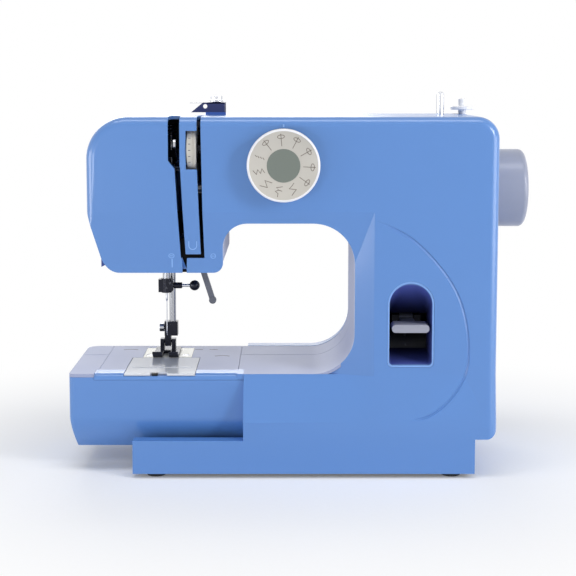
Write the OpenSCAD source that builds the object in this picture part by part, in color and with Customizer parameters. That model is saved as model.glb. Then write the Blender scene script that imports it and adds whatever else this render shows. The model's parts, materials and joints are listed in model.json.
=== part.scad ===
// Free-arm sewing machine: moulded covers round a cast frame, with the needle, feed, hook and drive inside.
// Millimetres. The front faces -Y, the handwheel is at +X, and the rubber feet stand on z = 0.

/* [Overall] */
// Width from the end of the free arm to the end of the handwheel
total_w = 339; // [334:0.5:350]
// Depth from the face of the stitch dial to the back of the base
total_d = 134; // [131:0.5:142]
// Height of the top of the arm above the table
body_h = 259; // [252:0.5:270]
// Wall of the moulded covers
wall = 2.5; // [1.8:0.1:3]
// Radius of the rounded rim of the covers
rim_r = 7; // [4:0.5:8]
// Gap between neighbouring fixed pieces
seam = 0.15; // [0.05:0.05:0.3]
// Radial running clearance of every shaft in its bearing
run_gap = 0.05; // [0.02:0.01:0.1]
// Clearance between pieces that pass each other
pass_gap = 0.4; // [0.3:0.05:0.6]

/* [Arm, head and column] */
// How far the free arm's end reaches past the head's left side
arm_reach = 15.5; // [12:0.5:20]
// Depth of the arm and column, front face to back face
body_d = 101.6; // [98:0.2:106]
// How far the dial's face stands out of the front
dial_stand = 10; // [6:0.5:12]
// Underside of the head
head_bottom = 147.7; // [144:0.1:156]
// Width of the head, left side to the arch
head_w = 96.7; // [94:0.1:100]
// Width of the arch between the head and the column
arch_w = 94.2; // [88:0.1:98]
// Top of the arch
arch_top = 183.5; // [180:0.5:186]
// Height where the lower front starts to lean back
brow_z = 191.8; // [190:0.2:194]
// Lean of the front below that line, run per rise
brow_lean = 0.11; // [0.05:0.01:0.15]
// Lean of the facet beside the arch
facet_lean = 0.3; // [0.2:0.02:0.35]
// Width of that facet
facet_w = 13.6; // [10:0.2:16]
// Radius of the top left corner
corner_l = 30; // [20:1:36]
// Radius of the top right corner
corner_r = 16; // [10:1:20]
// Radius of the arch at the head
arch_r_head = 17.5; // [12:0.5:20]
// Radius of the arch at the column, top and bottom
arch_r_col = 30; // [24:0.5:34]
// Height where the two covers' joint lies behind the front face
joint_back = 70; // [66:0.5:74]

/* [Base and free arm] */
// Height of the bed
bed_h = 73.5; // [71:0.5:78]
// Underside of the free arm
arm_under = 20.8; // [18:0.2:22]
// Top of the base's front ledge
ledge_h = 27.6; // [24:0.2:30]
// Thickness of the ledge, front to back
ledge_t = 9; // [7:0.5:10]
// Underside of the base
base_under = 3.4; // [3:0.1:5]
// Height where the skirt starts to lean back
skirt_z = 41; // [38:0.5:44]
// How far the base stands in front of the column
skirt_out = 5; // [3:0.5:7]
// How far the bed's edge lies behind the column's front
bed_back = 7; // [5:0.5:9]
// Left end of the base, from the free arm's end
base_inset = 47.1; // [44:0.1:52]
// Width of the base
base_w = 245.5; // [240:0.5:248]
// Width of the free arm up to the skirt
arm_w = 126.5; // [124:0.1:130]
// Thickness of the grey bed and arch lining
liner_t = 2; // [1.5:0.1:2.4]

/* [Needle and presser] */
// Needle bar's distance from the head's left side
needle_in = 49.5; // [47:0.1:52]
// Needle bar's distance behind the front face
needle_back = 73; // [71:0.5:75]
// Radius of the needle bar
needle_bar_r = 3; // [2.5:0.1:3.2]
// Needle's stroke
stroke = 30; // [26:0.5:30]
// Height of the needle's point at the top of its stroke
needle_tip_z = 88; // [86:0.5:90]
// Presser bar's distance to the right of the needle bar
presser_dx = 3.7; // [3.6:0.1:4]
// Presser bar's distance behind the needle bar
presser_dy = 8.2; // [8.1:0.1:8.6]
// Radius of the presser bar
presser_r = 2.6; // [2.2:0.1:2.8]
// How far the presser foot lifts
foot_lift = 6; // [4:0.5:7]

/* [Dials and levers] */
// Radius of the stitch dial
dial_r = 25.7; // [22:0.1:27]
// Height of the stitch dial's centre
dial_z = 225.3; // [222:0.5:228]
// Stitch dial's centre, from the head's left side
dial_in = 140; // [136:0.5:146]
// Radius of the tension wheel
tension_r = 17; // [15:0.5:18]
// Width of the tension wheel's window
tension_w = 7.8; // [6:0.2:8.4]
// Width of the recess round the reverse lever
well_w = 33.4; // [30:0.2:36]
// Height of that recess
well_h = 62; // [56:0.5:66]
// Bottom of that recess
well_z = 80; // [77:0.5:83]
// Depth of that recess
well_d = 30; // [26:0.5:33]
// Width of the reverse lever
reverse_w = 26.8; // [22:0.2:28]

/* [Drive] */
// Radius of the handwheel
wheel_r = 29.5; // [26:0.5:31]
// Width of the handwheel outside the cover
wheel_w = 30.1; // [27:0.1:33]
// Height of the main shaft
shaft_z = 203; // [201:0.5:206]
// Radius of the main shaft
shaft_r = 5; // [4:0.5:5.5]
// Height of the lower shaft
lower_z = 36; // [35.5:0.1:37]
// Radius of the lower shaft
lower_r = 4; // [3:0.5:4.5]
// Radius of the big belt pulley
pulley_r = 23; // [20:0.5:23.5]
// Radius of the motor's pulley
motor_pulley_r = 6.75; // [6:0.25:8]
// Radius of the motor
motor_r = 20; // [18:0.5:21]
// Length of the motor
motor_len = 46; // [40:0.5:48]
// Radius of the timing pulleys
timing_r = 10.5; // [9:0.25:10.75]
// Thickness of the belts
belt_t = 1.6; // [1.2:0.1:2]

/* [Spool and winder] */
// Radius of the spool pin
spool_r = 3; // [2.6:0.1:3.4]
// Height of the closed spool pin above the top
spool_up = 17; // [14:0.5:20]
// Radius of the bobbin winder's disc
winder_r = 8.8; // [8:0.1:10]
// Radius of a bobbin
bobbin_r = 10.3; // [9.5:0.1:10.5]
// Height of a bobbin
bobbin_h = 11.5; // [10:0.5:12]

/* [Hidden] */
$fn = 48;
bit = 0.01; // how far cutters reach past what they cut

// Planes of the body
x_arm = -total_w / 2;
x_right = total_w / 2;
x_head = x_arm + arm_reach;
x_body = x_right - wheel_w - pass_gap;
x_arch0 = x_head + head_w;
x_arch1 = x_arch0 + arch_w;
x_base0 = x_arm + base_inset;
x_base1 = x_base0 + base_w;
x_skirt = x_arm + arm_w;
x_crease = x_arch1 + facet_w;
y_dial = -total_d / 2;
y_front = y_dial + dial_stand;
y_rear = total_d / 2;
y_body = y_front + body_d;
y_joint = y_front + joint_back;
y_bed = y_front + bed_back;
y_base = y_front - skirt_out;
rear_slope_z = bed_h + 32; // where the back starts to lean out to the base
overhang_z = base_under + 25.1; // underside of the column where it stands past the base
under_r = rim_r + 1; // corner radius under the column
head_corner = 7; // corner radius under the head, beside the arch
taper = 11; // how far the head's left side leans in below the brow

// Axes of the mechanism
needle_x = x_head + needle_in;
needle_y = y_front + needle_back;
presser_x = needle_x + presser_dx;
presser_y = needle_y + presser_dy;
dial_x = x_head + dial_in;
crank_r = stroke / 2;
gear_r = 11.85;
gear_gap = 0.3; // between the tips of the two gears
hook_y = needle_y - 2 * gear_r - gear_gap;
frame_y = needle_y + 14.5; // front face of the frame's plate
frame_t = 4;
bush_t = 2;
motor_x = x_body - 77;
motor_y = frame_y - motor_r - 1.5;
motor_z = 79;
pulley_x = x_body - 18;
pulley_w = 10;
timing_x = x_arch1 + 11;
timing_w = 8;

// ---- Helpers ----------------------------------------------------------------

// Quarter of a square outside a circle of radius r, at the origin's corner, turned by turn degrees.
module corner_bit(r, turn) {
  rotate(turn) difference() {
    translate([-1, -1]) square(r + 1);
    translate([r, r]) circle(r, $fn = 96);
  }
}

// Rectangle with its own radius at each corner: lower left, lower right, upper right, upper left.
module rrect(x0, z0, x1, z1, r) {
  difference() {
    translate([x0, z0]) square([x1 - x0, z1 - z0]);
    if (r[0] > 0) translate([x0, z0]) corner_bit(r[0], 0);
    if (r[1] > 0) translate([x1, z0]) corner_bit(r[1], 90);
    if (r[2] > 0) translate([x1, z1]) corner_bit(r[2], 180);
    if (r[3] > 0) translate([x0, z1]) corner_bit(r[3], 270);
  }
}

// An outline drawn in x and z, reaching from y0 back to y1.
module slab(y0, y1) translate([0, y1, 0]) rotate([90, 0, 0]) linear_extrude(y1 - y0) children();

// A profile drawn in y and z, reaching from x0 to x1.
module bar(x0, x1) translate([x0, 0, 0]) rotate([90, 0, 90]) linear_extrude(x1 - x0) children();

// A plan drawn in x and y, reaching from z0 up to z1.
module plan(z0, z1) translate([0, 0, z0]) linear_extrude(z1 - z0) children();

module box(x0, x1, y0, y1, z0, z1) translate([x0, y0, z0]) cube([x1 - x0, y1 - y0, z1 - z0]);
module rod_x(x0, x1, y, z, r) translate([x0, y, z]) rotate([0, 90, 0]) cylinder(h = x1 - x0, r = r);
module rod_y(y0, y1, x, z, r) translate([x, y1, z]) rotate([90, 0, 0]) cylinder(h = y1 - y0, r = r);
module rod_z(z0, z1, x, y, r) translate([x, y, z0]) cylinder(h = z1 - z0, r = r);

// ---- Form of the body, smaller by i on every side ----------------------------

// Round corner of the arm block, with its rim rounded by e at the front and the back.
module rim_corner(x, z, r, e, y0, y1)
  translate([x, 0, z]) rotate([-90, 0, 0]) rotate_extrude($fn = 96)
    intersection() {
      rrect(-r, y0, r, y1, [e, e, e, e]);
      translate([0, y0 - 1]) square([r + 1, y1 - y0 + 2]);
    }

module arm_block(i) {
  e = rim_r - i;
  x0 = x_head + i;
  x1 = x_body - i;
  z0 = overhang_z + i;
  z1 = body_h - i;
  y0 = y_front + i;
  y1 = y_body - i;
  rl = corner_l - i;
  rr = corner_r - i;
  ru = under_r - i;
  slab(y0, y1) rrect(x0 + e, z0, x1 - e, z1 - e, [0, 0, rr - e, rl - e]);
  rim_corner(x0 + rl, z1 - rl, rl, e, y0, y1);
  rim_corner(x1 - rr, z1 - rr, rr, e, y0, y1);
  bar(x0 + rl, x1 - rr) rrect(y0, z1 - e - 1, y1, z1, [0, 0, e, e]);
  plan(z0 + ru, z1 - rr) rrect(x1 - e - 1, y0, x1, y1, [0, e, e, 0]);
  plan(z0 + ru, z1 - rl) rrect(x0, y0, x0 + e + 1, y1, [e, 0, 0, e]);
}

// Skirt that joins the column and the bed to the wider base.
module skirt(i) {
  e = rim_r - i;
  z0 = overhang_z + i;
  hull() {
    plan(z0, skirt_z) rrect(x_skirt + i, y_base + i, x_body - i, y_joint, [0, e, 0, 0], $fn = 32);
    plan(bed_h - bit, bed_h) rrect(x_skirt + i, y_front + i, x_body - i, y_joint, [0, e, 0, 0], $fn = 32);
  }
  hull() {
    plan(z0, skirt_z) rrect(x_skirt + i, y_joint, x_body - i, y_rear - i, [0, 0, e, 0], $fn = 32);
    plan(rear_slope_z - bit, rear_slope_z)
      rrect(x_skirt + i, y_joint, x_body - i, y_body - i, [0, 0, e, 0], $fn = 32);
  }
}

// Rounds the lower right corner of the column.
module under_corner(i) slab(y_base - 1, y_rear + 1)
  translate([x_body - i, overhang_z + i]) corner_bit(under_r - i, 90);

// The arch between the head and the column, grown by i.
module arch_hole(i) rrect(x_arch0 - i, bed_h - i, x_arch1 + i, arch_top + i,
  [0, arch_r_col + i, arch_r_col + i, arch_r_head + i]);

// The arch with the space below the head and left of the skirt.
module arch_outline(i) {
  arch_hole(i);
  if (head_corner > i) translate([x_arch0 - i, head_bottom + i]) corner_bit(head_corner - i, 90);
  translate([x_arm - 10, bed_h - i]) square([x_arch0 + 30 - x_arm, head_bottom - bed_h + 2 * i]);
  translate([x_arm - 10, -10]) square([x_skirt + i - x_arm + 10, bed_h + 10]);
  polygon([
    [x_head - 20, brow_z], [x_head + i, brow_z], [x_head + taper + i, head_bottom + head_corner + i],
    [x_head + taper + head_corner + i, head_bottom + i], [x_head - 20, head_bottom + i]
  ]);
}

// What the brow and the facet beside the arch take off the front.
module front_facets(i) {
  far_x = x_head - 60;
  front = y_front - 40;
  facet_y = y_front + i + facet_lean * (x_crease - far_x);
  intersection() {
    bar(far_x, x_crease) polygon([
      [front, brow_z], [y_front + i, brow_z],
      [y_front + i + brow_lean * (brow_z - bed_h), bed_h], [front, bed_h]
    ]);
    plan(bed_h - bit, body_h) polygon([[x_crease, y_front + i], [x_crease, front], [far_x, front], [far_x, facet_y]]);
  }
}

// What the skirt in front of the bed takes off the front: it leans back from the crease to the bed's edge.
module skirt_facets(i) {
  lean = (y_bed - y_base) / (bed_h - skirt_z);
  top_z = bed_h + 22;
  front = y_front - 40;
  far_x = x_skirt - 10;
  dy = facet_lean * (x_crease - far_x);
  intersection() {
    bar(far_x, x_crease) polygon([
      [front, skirt_z], [y_base + i, skirt_z], [y_base + i + lean * (top_z - skirt_z), top_z], [front, top_z]
    ]);
    union() {
      plan(bed_h, top_z + 1) polygon([
        [x_crease, y_front + i], [x_crease, front], [far_x, front], [far_x, y_front + i + dy]
      ]);
      polyhedron(
        points = [
          [x_crease, y_base + i, skirt_z], [x_crease, front, skirt_z], [far_x, front, skirt_z],
          [far_x, y_base + i + dy, skirt_z], [x_crease, y_front + i, bed_h], [x_crease, front, bed_h],
          [far_x, front, bed_h], [far_x, y_front + i + dy, bed_h]
        ],
        faces = [[0, 1, 2, 3], [7, 6, 5, 4], [0, 4, 5, 1], [1, 5, 6, 2], [2, 6, 7, 3], [3, 7, 4, 0]]
      );
    }
  }
}

module body_form(i) difference() {
  union() {
    arm_block(i);
    skirt(i);
  }
  slab(y_base - 1, y_rear + 1) arch_outline(i);
  under_corner(i);
  front_facets(i);
  skirt_facets(i);
}

// Base below the skirt, with the ledges in front of and behind the free arm.
rear_ledge_h = arm_under - 6;
floor_t = 2.5;
module base_form(i) {
  z0 = i > 0 ? base_under - 1 : base_under;
  box(x_skirt + i, x_base1 - i, y_base + i, y_rear - i, z0, skirt_z - bit);
  box(x_base0 + i, x_skirt + 2 * i, y_base + i, y_base + ledge_t - i, z0, ledge_h - i);
  box(x_base0 + i, x_skirt + 2 * i, y_rear - ledge_t + i, y_rear - i, z0, rear_ledge_h - i);
}

// Room for the base plate inside the covers' outer walls.
module plate_room()
  box(x_base0 + wall, x_base1 - wall, y_base + wall, y_rear - wall, base_under - 1, base_under + floor_t + seam);

// Opening in the skirt's left wall, through which the arm's frame, shaft and feed reach the column.
module arm_opening()
  box(x_skirt - 1, x_skirt + wall + 1, y_bed + 5, y_body - 5, arm_under + wall + 1.5, bed_h + 1);

module cover_shell() difference() {
  union() {
    body_form(0);
    base_form(0);
  }
  body_form(wall);
  base_form(wall);
  plate_room();
  arm_opening();
  slab(y_bed, y_body + 1) arch_hole(liner_t + seam);
}

// ---- Openings in the covers ---------------------------------------------------
slot_l0 = x_head + 58.5; // take-up lever's slot
slot_l1 = slot_l0 + 8.2;
slot_low0 = x_head + 63; // its narrow lower part
slot_low1 = x_head + 67;
slot_wide_z = head_bottom + 75;
slot_join_z = head_bottom + 10.8;
slot_r0 = x_head + 78.8; // thread slot beside the tension discs
slot_r1 = slot_r0 + 2.8;
slot_back = 28; // how far the slots run back over the top
strip_top_z = body_h + 1;
tension_x = slot_r0 - tension_w / 2;
tension_y = y_front + tension_r - 1.5;
tension_z = shaft_z + 32.6;

module thread_slots() {
  slab(y_front - 2, y_front + rim_r + wall) {
    translate([slot_l0, slot_wide_z]) square([slot_l1 - slot_l0, strip_top_z - slot_wide_z]);
    translate([slot_low0, slot_join_z]) square([slot_low1 - slot_low0, slot_wide_z + 1 - slot_join_z]);
    polygon([
      [slot_low0, slot_join_z + 3], [slot_low1, slot_join_z + 3], [slot_low1 + 4, head_bottom - 1],
      [slot_low0 + 5, head_bottom - 1]
    ]);
    translate([slot_low0, slot_join_z]) square([slot_r1 - slot_low0, 2.8]);
    translate([slot_r0, slot_join_z]) square([slot_r1 - slot_r0, strip_top_z - slot_join_z]);
    translate([slot_r0 - tension_w, tension_z - 13.6]) square([tension_w + 1, 27.2]);
  }
  box(slot_l0, slot_l1, y_front, y_front + slot_back, body_h - wall - 1, body_h + 1);
  box(slot_r0, slot_r1, y_front, y_front + slot_back, body_h - wall - 1, body_h + 1);
}

well_x1 = x_body - 45.5;
well_x0 = well_x1 - well_w;
module well_outline(i) rrect(well_x0 + i, well_z + i, well_x1 - i, well_z + well_h - i,
  [4 - i, 4 - i, well_w / 2 - i, well_w / 2 - i]);

spool_x = x_body - 32.9;
spool_y = y_front + 84;
winder_x = x_body - 15.1;
winder_y = y_front + 90;
winder_shift = 4; // travel of the winder towards its stop
lifter_x = needle_x + 18.5;
lifter_z = head_bottom + 10.3;
socket_y = y_joint + 18;
socket_z = base_under + 50;

module head_opening()
  plan(head_bottom - 1, head_bottom + wall + 1)
    rrect(needle_x - 14, needle_y - 15, needle_x + 26, needle_y + 16, [5, 5, 5, 5]);

module shaft_hole() rod_x(x_body - wall - 1, x_body + 1, needle_y, shaft_z, shaft_r + 1.5);

module front_cover() color("cornflowerblue") difference() {
  intersection() {
    cover_shell();
    box(x_arm, x_right, y_dial, y_joint - seam / 2, 0, body_h + 1);
  }
  thread_slots();
  head_opening();
  shaft_hole();
  rod_y(y_front - 1, y_front + wall + 1, dial_x, dial_z, 5);
  slab(y_front - 1, y_front + wall + 1) well_outline(0);
}

// Screw places on the back: head, arm, column and base.
screw_places = [
  [x_head + 20, head_bottom + 20], [x_head + 20, body_h - 40], [x_arch0 + 45, body_h - 30],
  [x_body - 30, body_h - 40], [x_body - 30, bed_h + 56], [x_arch1 + 16, bed_h + 56]
];
screw_r = 1.75;

module rear_cover() color("cornflowerblue") difference() {
  union() {
    intersection() {
      cover_shell();
      box(x_arm, x_right, y_joint + seam / 2, y_rear, 0, body_h + 1);
    }
    for (p = screw_places) rod_y(frame_y + frame_t + seam, y_body - wall + bit, p[0], p[1], 4.5);
    rod_y(y_body - wall - 4, y_body - wall + bit, lifter_x, lifter_z, 6);
    rod_z(body_h - wall - 7, body_h - wall + bit, spool_x, spool_y, spool_r + 1.6);
  }
  head_opening();
  shaft_hole();
  for (p = screw_places) {
    rod_y(frame_y, y_body + 1, p[0], p[1], screw_r + 0.15);
    rod_y(y_body - 3, y_body + 1, p[0], p[1], 3.6);
  }
  rod_y(y_body - wall - 5, y_body + 1, lifter_x, lifter_z, 3 + run_gap);
  rod_z(body_h - wall - 10, body_h + 1, spool_x, spool_y, spool_r - 0.4 + run_gap);
  // slot for the winder's spindle
  plan(body_h - wall - 14, body_h + 1)
    rrect(winder_x - winder_shift - 4, winder_y - 4, winder_x + 4, winder_y + 4, [3.9, 3.9, 3.9, 3.9]);
  box(x_body - wall - 1, x_body + 1, socket_y - 10, socket_y + 10, socket_z - 8, socket_z + 8);
  // cooling slots behind the motor
  for (k = [0:6])
    slab(y_body - wall - 4, y_rear + 1)
      rrect(motor_x + 2 + 7 * k, bed_h + 20, motor_x + 5 + 7 * k, bed_h + 46, [1.4, 1.4, 1.4, 1.4]);
}

// ---- Base, feet and screws -------------------------------------------------------
foot_inset = 16;
foot_r = 7;
foot_places = [for (x = [x_base0 + foot_inset, x_base1 - foot_inset]) for (y = [y_base + foot_inset, y_rear - foot_inset]) [x, y]];

module base_plate() color("dimgray") difference() {
  union() {
    box(x_base0 + wall + seam, x_base1 - wall - seam, y_base + wall + seam, y_rear - wall - seam,
      base_under, base_under + floor_t);
    for (x = [x_base0 + 40, x_skirt + 30, x_skirt + 80, x_skirt + 130])
      box(x, x + 2, y_base + ledge_t + 4, y_rear - ledge_t - 4, base_under + floor_t - bit, base_under + floor_t + 4);
  }
  for (p = foot_places) rod_z(base_under - 1, base_under + floor_t + 1, p[0], p[1], 2.5 + seam);
}

module rubber_feet() color("#202022") for (p = foot_places) {
  translate([p[0], p[1], 0]) cylinder(h = base_under - bit, r1 = foot_r, r2 = foot_r + 1);
  rod_z(base_under - 1, base_under + floor_t + 0.5, p[0], p[1], 2.5);
  rod_z(base_under + floor_t + seam, base_under + floor_t + 1.5, p[0], p[1], 3.6);
}

module cover_screws() color("silver") for (p = screw_places) {
  rod_y(frame_y + 1, y_body - 3 + bit, p[0], p[1], screw_r);
  difference() {
    rod_y(y_body - 3, y_body - 0.6, p[0], p[1], 3.2);
    box(p[0] - 2.4, p[0] + 2.4, y_body - 1.6, y_body, p[1] - 0.4, p[1] + 0.4);
    box(p[0] - 0.4, p[0] + 0.4, y_body - 1.6, y_body, p[1] - 2.4, p[1] + 2.4);
  }
}

// ---- Free arm and bed ---------------------------------------------------------------
bed_under = bed_h - wall; // underside of the bed's plates
rail_z = bed_h - 4.5; // top of the arm cover's front wall
plate_x0 = x_arm + 20.3;
plate_x1 = x_skirt - 4.5;
rail_y1 = y_bed + 14;
needle_plate_x0 = needle_x - 17.5;
needle_plate_x1 = needle_x + 19.7;
needle_plate_y0 = needle_y - 12.4;
needle_plate_y1 = needle_y + 20.6;
lid_x0 = needle_x - 25;
lid_x1 = needle_x + 26.2;
lid_y0 = rail_y1 + 1.5;

module arm_form(i) difference() {
  plan(arm_under + i, bed_h) rrect(x_arm + i, y_bed + i, x_skirt - seam, y_body - i, [4 - i, 0, 0, 8 - i]);
  slab(y_bed - 1, y_body + 1) polygon([
    [x_arm - 1, skirt_z], [x_arm + i, skirt_z], [x_arm + 4 + i, arm_under], [x_arm + 4 + i, arm_under - 1],
    [x_arm - 1, arm_under - 1]
  ]);
}

module arm_cover() color("cornflowerblue") difference() {
  arm_form(0);
  arm_form(wall);
  box(x_arm - 1, x_skirt + 1, y_bed - 1, y_body + 1, bed_under, bed_h + 1);
  box(plate_x0 - 2, x_skirt + 1, y_bed - 1, y_bed + wall + 1, rail_z, bed_h + 1);
}

module front_rail() color("cornflowerblue") difference() {
  bar(plate_x0 - 2 + seam, plate_x1) rrect(y_bed, rail_z + seam, rail_y1, bed_h, [0, 0, 0, 4.3]);
  // pocket for the bobbin cover's lip
  box(lid_x0 - pass_gap, lid_x1 + pass_gap, y_bed - 1, rail_y1 + 1, bed_h - 1.9, bed_h + 1);
}

// Room under the bobbin cover: the recess it lies in and the well that the bobbin comes out of.
module lid_room() {
  box(lid_x0 - pass_gap, lid_x1 + pass_gap, rail_y1 - 1, needle_plate_y0, bed_h - 1.9, bed_h + 1);
  plan(bed_under - 1, bed_h) intersection() {
    translate([needle_x, hook_y]) circle(17.5);
    translate([needle_x - 20, rail_y1 + 1]) square([40, needle_plate_y0 - rail_y1 + 3]);
  }
}

module bed_plate() color("#b9bfd8") difference() {
  box(plate_x0, plate_x1, rail_y1 + seam, y_body, bed_under, bed_h);
  lid_room();
  box(needle_plate_x0 - seam, needle_plate_x1 + seam, needle_plate_y0 - seam, needle_plate_y1 + seam,
    bed_under - 1, bed_h + 1);
}

module bed_end() color("#b9bfd8") difference() {
  plan(bed_under, bed_h) rrect(x_arm, y_bed, plate_x0 - seam, y_body, [4, 0, 0, 8]);
  box(plate_x0 - 2, plate_x0 + 1, y_bed - 1, rail_y1 + seam, bed_under - 1, bed_h + 1);
  box(x_arm - 1, plate_x0, y_joint - 0.3, y_joint + 0.3, bed_h - 0.5, bed_h + 1);
}

module liner(y0, y1) difference() {
  slab(y0, y1) difference() {
    arch_hole(liner_t);
    arch_hole(0);
  }
  box(x_arm, plate_x1 + seam, y0 - 1, y1 + 1, 0, head_bottom + head_corner + 1);
}

module arch_liner_front() color("#c3c8dc") liner(y_bed + seam, y_joint - seam);
module arch_liner_rear() color("#c3c8dc") liner(y_joint + seam, y_body);

// ---- Needle plate, feed and bobbin ---------------------------------------------------
feed_rows = [-6, 6];
module needle_plate() color("#d8d4c8") difference() {
  box(needle_plate_x0, needle_plate_x1, needle_plate_y0, needle_plate_y1, bed_under, bed_h);
  plan(bed_under - 1, bed_h + 1) rrect(needle_x - 3.5, needle_y - 0.9, needle_x + 3.5, needle_y + 0.9,
    [0.85, 0.85, 0.85, 0.85]);
  for (dx = feed_rows)
    box(needle_x + dx - 1.6, needle_x + dx + 1.6, needle_y - 11, needle_y + 13, bed_under - 1, bed_h + 1);
  box(needle_x - 1.6, needle_x + 1.6, needle_y + 3, needle_y + 13, bed_under - 1, bed_h + 1);
  for (x = [needle_plate_x0 + 5, needle_plate_x1 - 5]) {
    rod_z(bed_under - 1, bed_h + 1, x, needle_y - 4, 1.5 + seam);
    rod_z(bed_h - 1, bed_h + 1, x, needle_y - 4, 3);
  }
}

module plate_screws() color("silver") for (x = [needle_plate_x0 + 5, needle_plate_x1 - 5]) difference() {
  union() {
    rod_z(bed_h - 1 + bit, bed_h - 0.1, x, needle_y - 4, 2.8);
    rod_z(bed_under - 4, bed_h - 1 + 2 * bit, x, needle_y - 4, 1.5);
  }
  box(x - 3, x + 3, needle_y - 4.4, needle_y - 3.6, bed_h - 0.6, bed_h);
}

feed_pin_y = needle_y + 9;
feed_pin_r = 1.2;
module feed_bar() color("darkgray") {
  z1 = bed_under - 6.5;
  difference() {
    union() {
      box(needle_x - 9, needle_x + 9, frame_y - 6.5, frame_y - 2.5, lower_z + gear_r + 3, z1);
      box(needle_x - 9, needle_x + 9, needle_y + 6, frame_y - 2.5, z1 - 2, z1);
    }
    for (side = [-1, 1]) rod_z(z1 - 7, z1 + 1, needle_x + 5 * side, feed_pin_y, feed_pin_r + run_gap);
  }
}

module feed_dog() color("silver") difference() {
  union() {
    box(needle_x - 8, needle_x + 8, needle_y - 7, needle_y + 11, bed_under - 4.6 + 0.3, bed_under - 1.9);
    for (dx = feed_rows) feed_row(needle_x + dx, needle_y - 8, 19);
    feed_row(needle_x, needle_y + 5.5, 5);
    for (side = [-1, 1]) rod_z(bed_under - 11, bed_under - 4, needle_x + 5 * side, feed_pin_y, feed_pin_r);
  }
  rod_z(bed_under - 6, bed_h, needle_x, needle_y, 3.4);
  box(needle_x - 3.4, needle_x + 3.4, needle_y - 9, needle_y, bed_under - 6, bed_h);
}

// A row of small slanted teeth along y.
module feed_row(x, y0, length) {
  pitch = 1.25;
  top = bed_h - 0.4;
  bar(x - 1, x + 1) polygon(concat(
    [[y0, bed_under - 2], [y0, top - 0.8]],
    [for (k = [0:floor(length / pitch) - 1]) each [[y0 + pitch * k, top - 0.8], [y0 + pitch * (k + 0.7), top]]],
    [[y0 + length - 1, top - 0.8], [y0 + length - 1, bed_under - 2]]
  ));
}

hook_z = lower_z + gear_r + 0.9;
hook_top = hook_z + 15;
hook_r = 2 * gear_r + gear_gap - 1.2;
module hook() color("silver") difference() {
  union() {
    rod_z(hook_z, hook_top, needle_x, hook_y, hook_r);
    rod_z(arm_under + wall + 0.6, hook_z + bit, needle_x, hook_y, 4);
  }
  rod_z(hook_z + 2, hook_top + 1, needle_x, hook_y, hook_r - 3);
  // scarf that leaves the point, so that the loop can pass
  for (turn = [60, 180])
    translate([needle_x, hook_y, hook_top - 6]) rotate(turn) translate([0, hook_r - 5, 0]) cube([14, 8, 7]);
}

case_r = hook_r - 3 - 0.4;
module bobbin_case() color("#3a3a3e") difference() {
  union() {
    rod_z(hook_z + 2.4, hook_top + 0.6, needle_x, hook_y, case_r);
    // horn that a stop on the bed holds, so that the case stays still in the turning hook
    box(needle_x - 3, needle_x + 3, hook_y - case_r - 5, hook_y - case_r + 2, hook_top + 0.4, hook_top + 1.8);
  }
  rod_z(hook_z + 4, hook_top + 3, needle_x, hook_y, bobbin_r + 0.6);
  translate([needle_x, hook_y, hook_z + 12]) rotate(20) cube([0.8, 30, 12]);
}

module bobbin() color("#e8e8ea") {
  z0 = hook_z + 4.3;
  difference() {
    union() {
      rod_z(z0, z0 + 1, needle_x, hook_y, bobbin_r);
      rod_z(z0 + bobbin_h - 1, z0 + bobbin_h, needle_x, hook_y, bobbin_r);
      rod_z(z0, z0 + bobbin_h, needle_x, hook_y, 4.3);
    }
    rod_z(z0 - 1, z0 + bobbin_h + 1, needle_x, hook_y, 3);
    for (a = [0:60:300])
      rod_z(z0 - 1, z0 + bobbin_h + 1, needle_x + 7.4 * cos(a), hook_y + 7.4 * sin(a), 1.3);
  }
}

module bobbin_cover() color("#d8dcd8a0") difference() {
  union() {
    box(lid_x0, lid_x1, rail_y1 - 1, needle_plate_y0 - pass_gap, bed_h - 1.6, bed_h);
    box(lid_x0, lid_x1, y_bed + 1.5, rail_y1, bed_h - 1.6, bed_h);
    box(lid_x0 + 4, lid_x1 - 4, rail_y1 + 6, rail_y1 + 7.5, bed_h - bit, bed_h + 0.4);
  }
  box(needle_x - 6, needle_x + 6, y_bed, y_bed + 5.5, bed_h - 3, bed_h + 1);
}

module cover_latch() color("#1a1a1c")
  box(needle_x - 5, needle_x - 0.8, y_bed + 1.8, y_bed + 5.2, bed_h - 1.6, bed_h + 0.2);

// ---- Gears, shafts and belts -----------------------------------------------------------
// Wheel with shallow teeth, drawn as a plan.
module toothed(r, teeth, deep) difference() {
  circle(r);
  for (k = [0:teeth - 1]) rotate(360 / teeth * k) translate([r, 0]) circle(deep, $fn = 16);
}

module hook_gear() color("goldenrod") difference() {
  translate([needle_x, hook_y, 0]) plan(lower_z - 4, lower_z + 4) toothed(gear_r, 18, 0.9);
  rod_z(0, bed_h, needle_x, hook_y, 4);
}

module lower_gear() color("goldenrod") translate([needle_x - 4, needle_y, lower_z]) rotate([90, 0, 90])
  linear_extrude(8) difference() {
    toothed(gear_r, 18, 0.9);
    circle(lower_r);
  }

module lower_shaft() color("silver") rod_x(needle_x - 8, timing_x + timing_w + 6, needle_y, lower_z, lower_r);

module pulley(x0, y, z, r, bore, width, teeth) translate([x0, y, z]) rotate([90, 0, 90])
  linear_extrude(width) difference() {
    if (teeth > 0) toothed(r, teeth, 0.7); else circle(r);
    circle(bore);
  }

module lower_pulley() color("dimgray") pulley(timing_x, needle_y, lower_z, timing_r, lower_r, timing_w, 22);
module timing_pulley() color("dimgray") pulley(timing_x, needle_y, shaft_z, timing_r, shaft_r, timing_w, 22);
module belt_pulley() color("dimgray") pulley(pulley_x, needle_y, shaft_z, pulley_r, shaft_r, pulley_w, 0);

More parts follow.
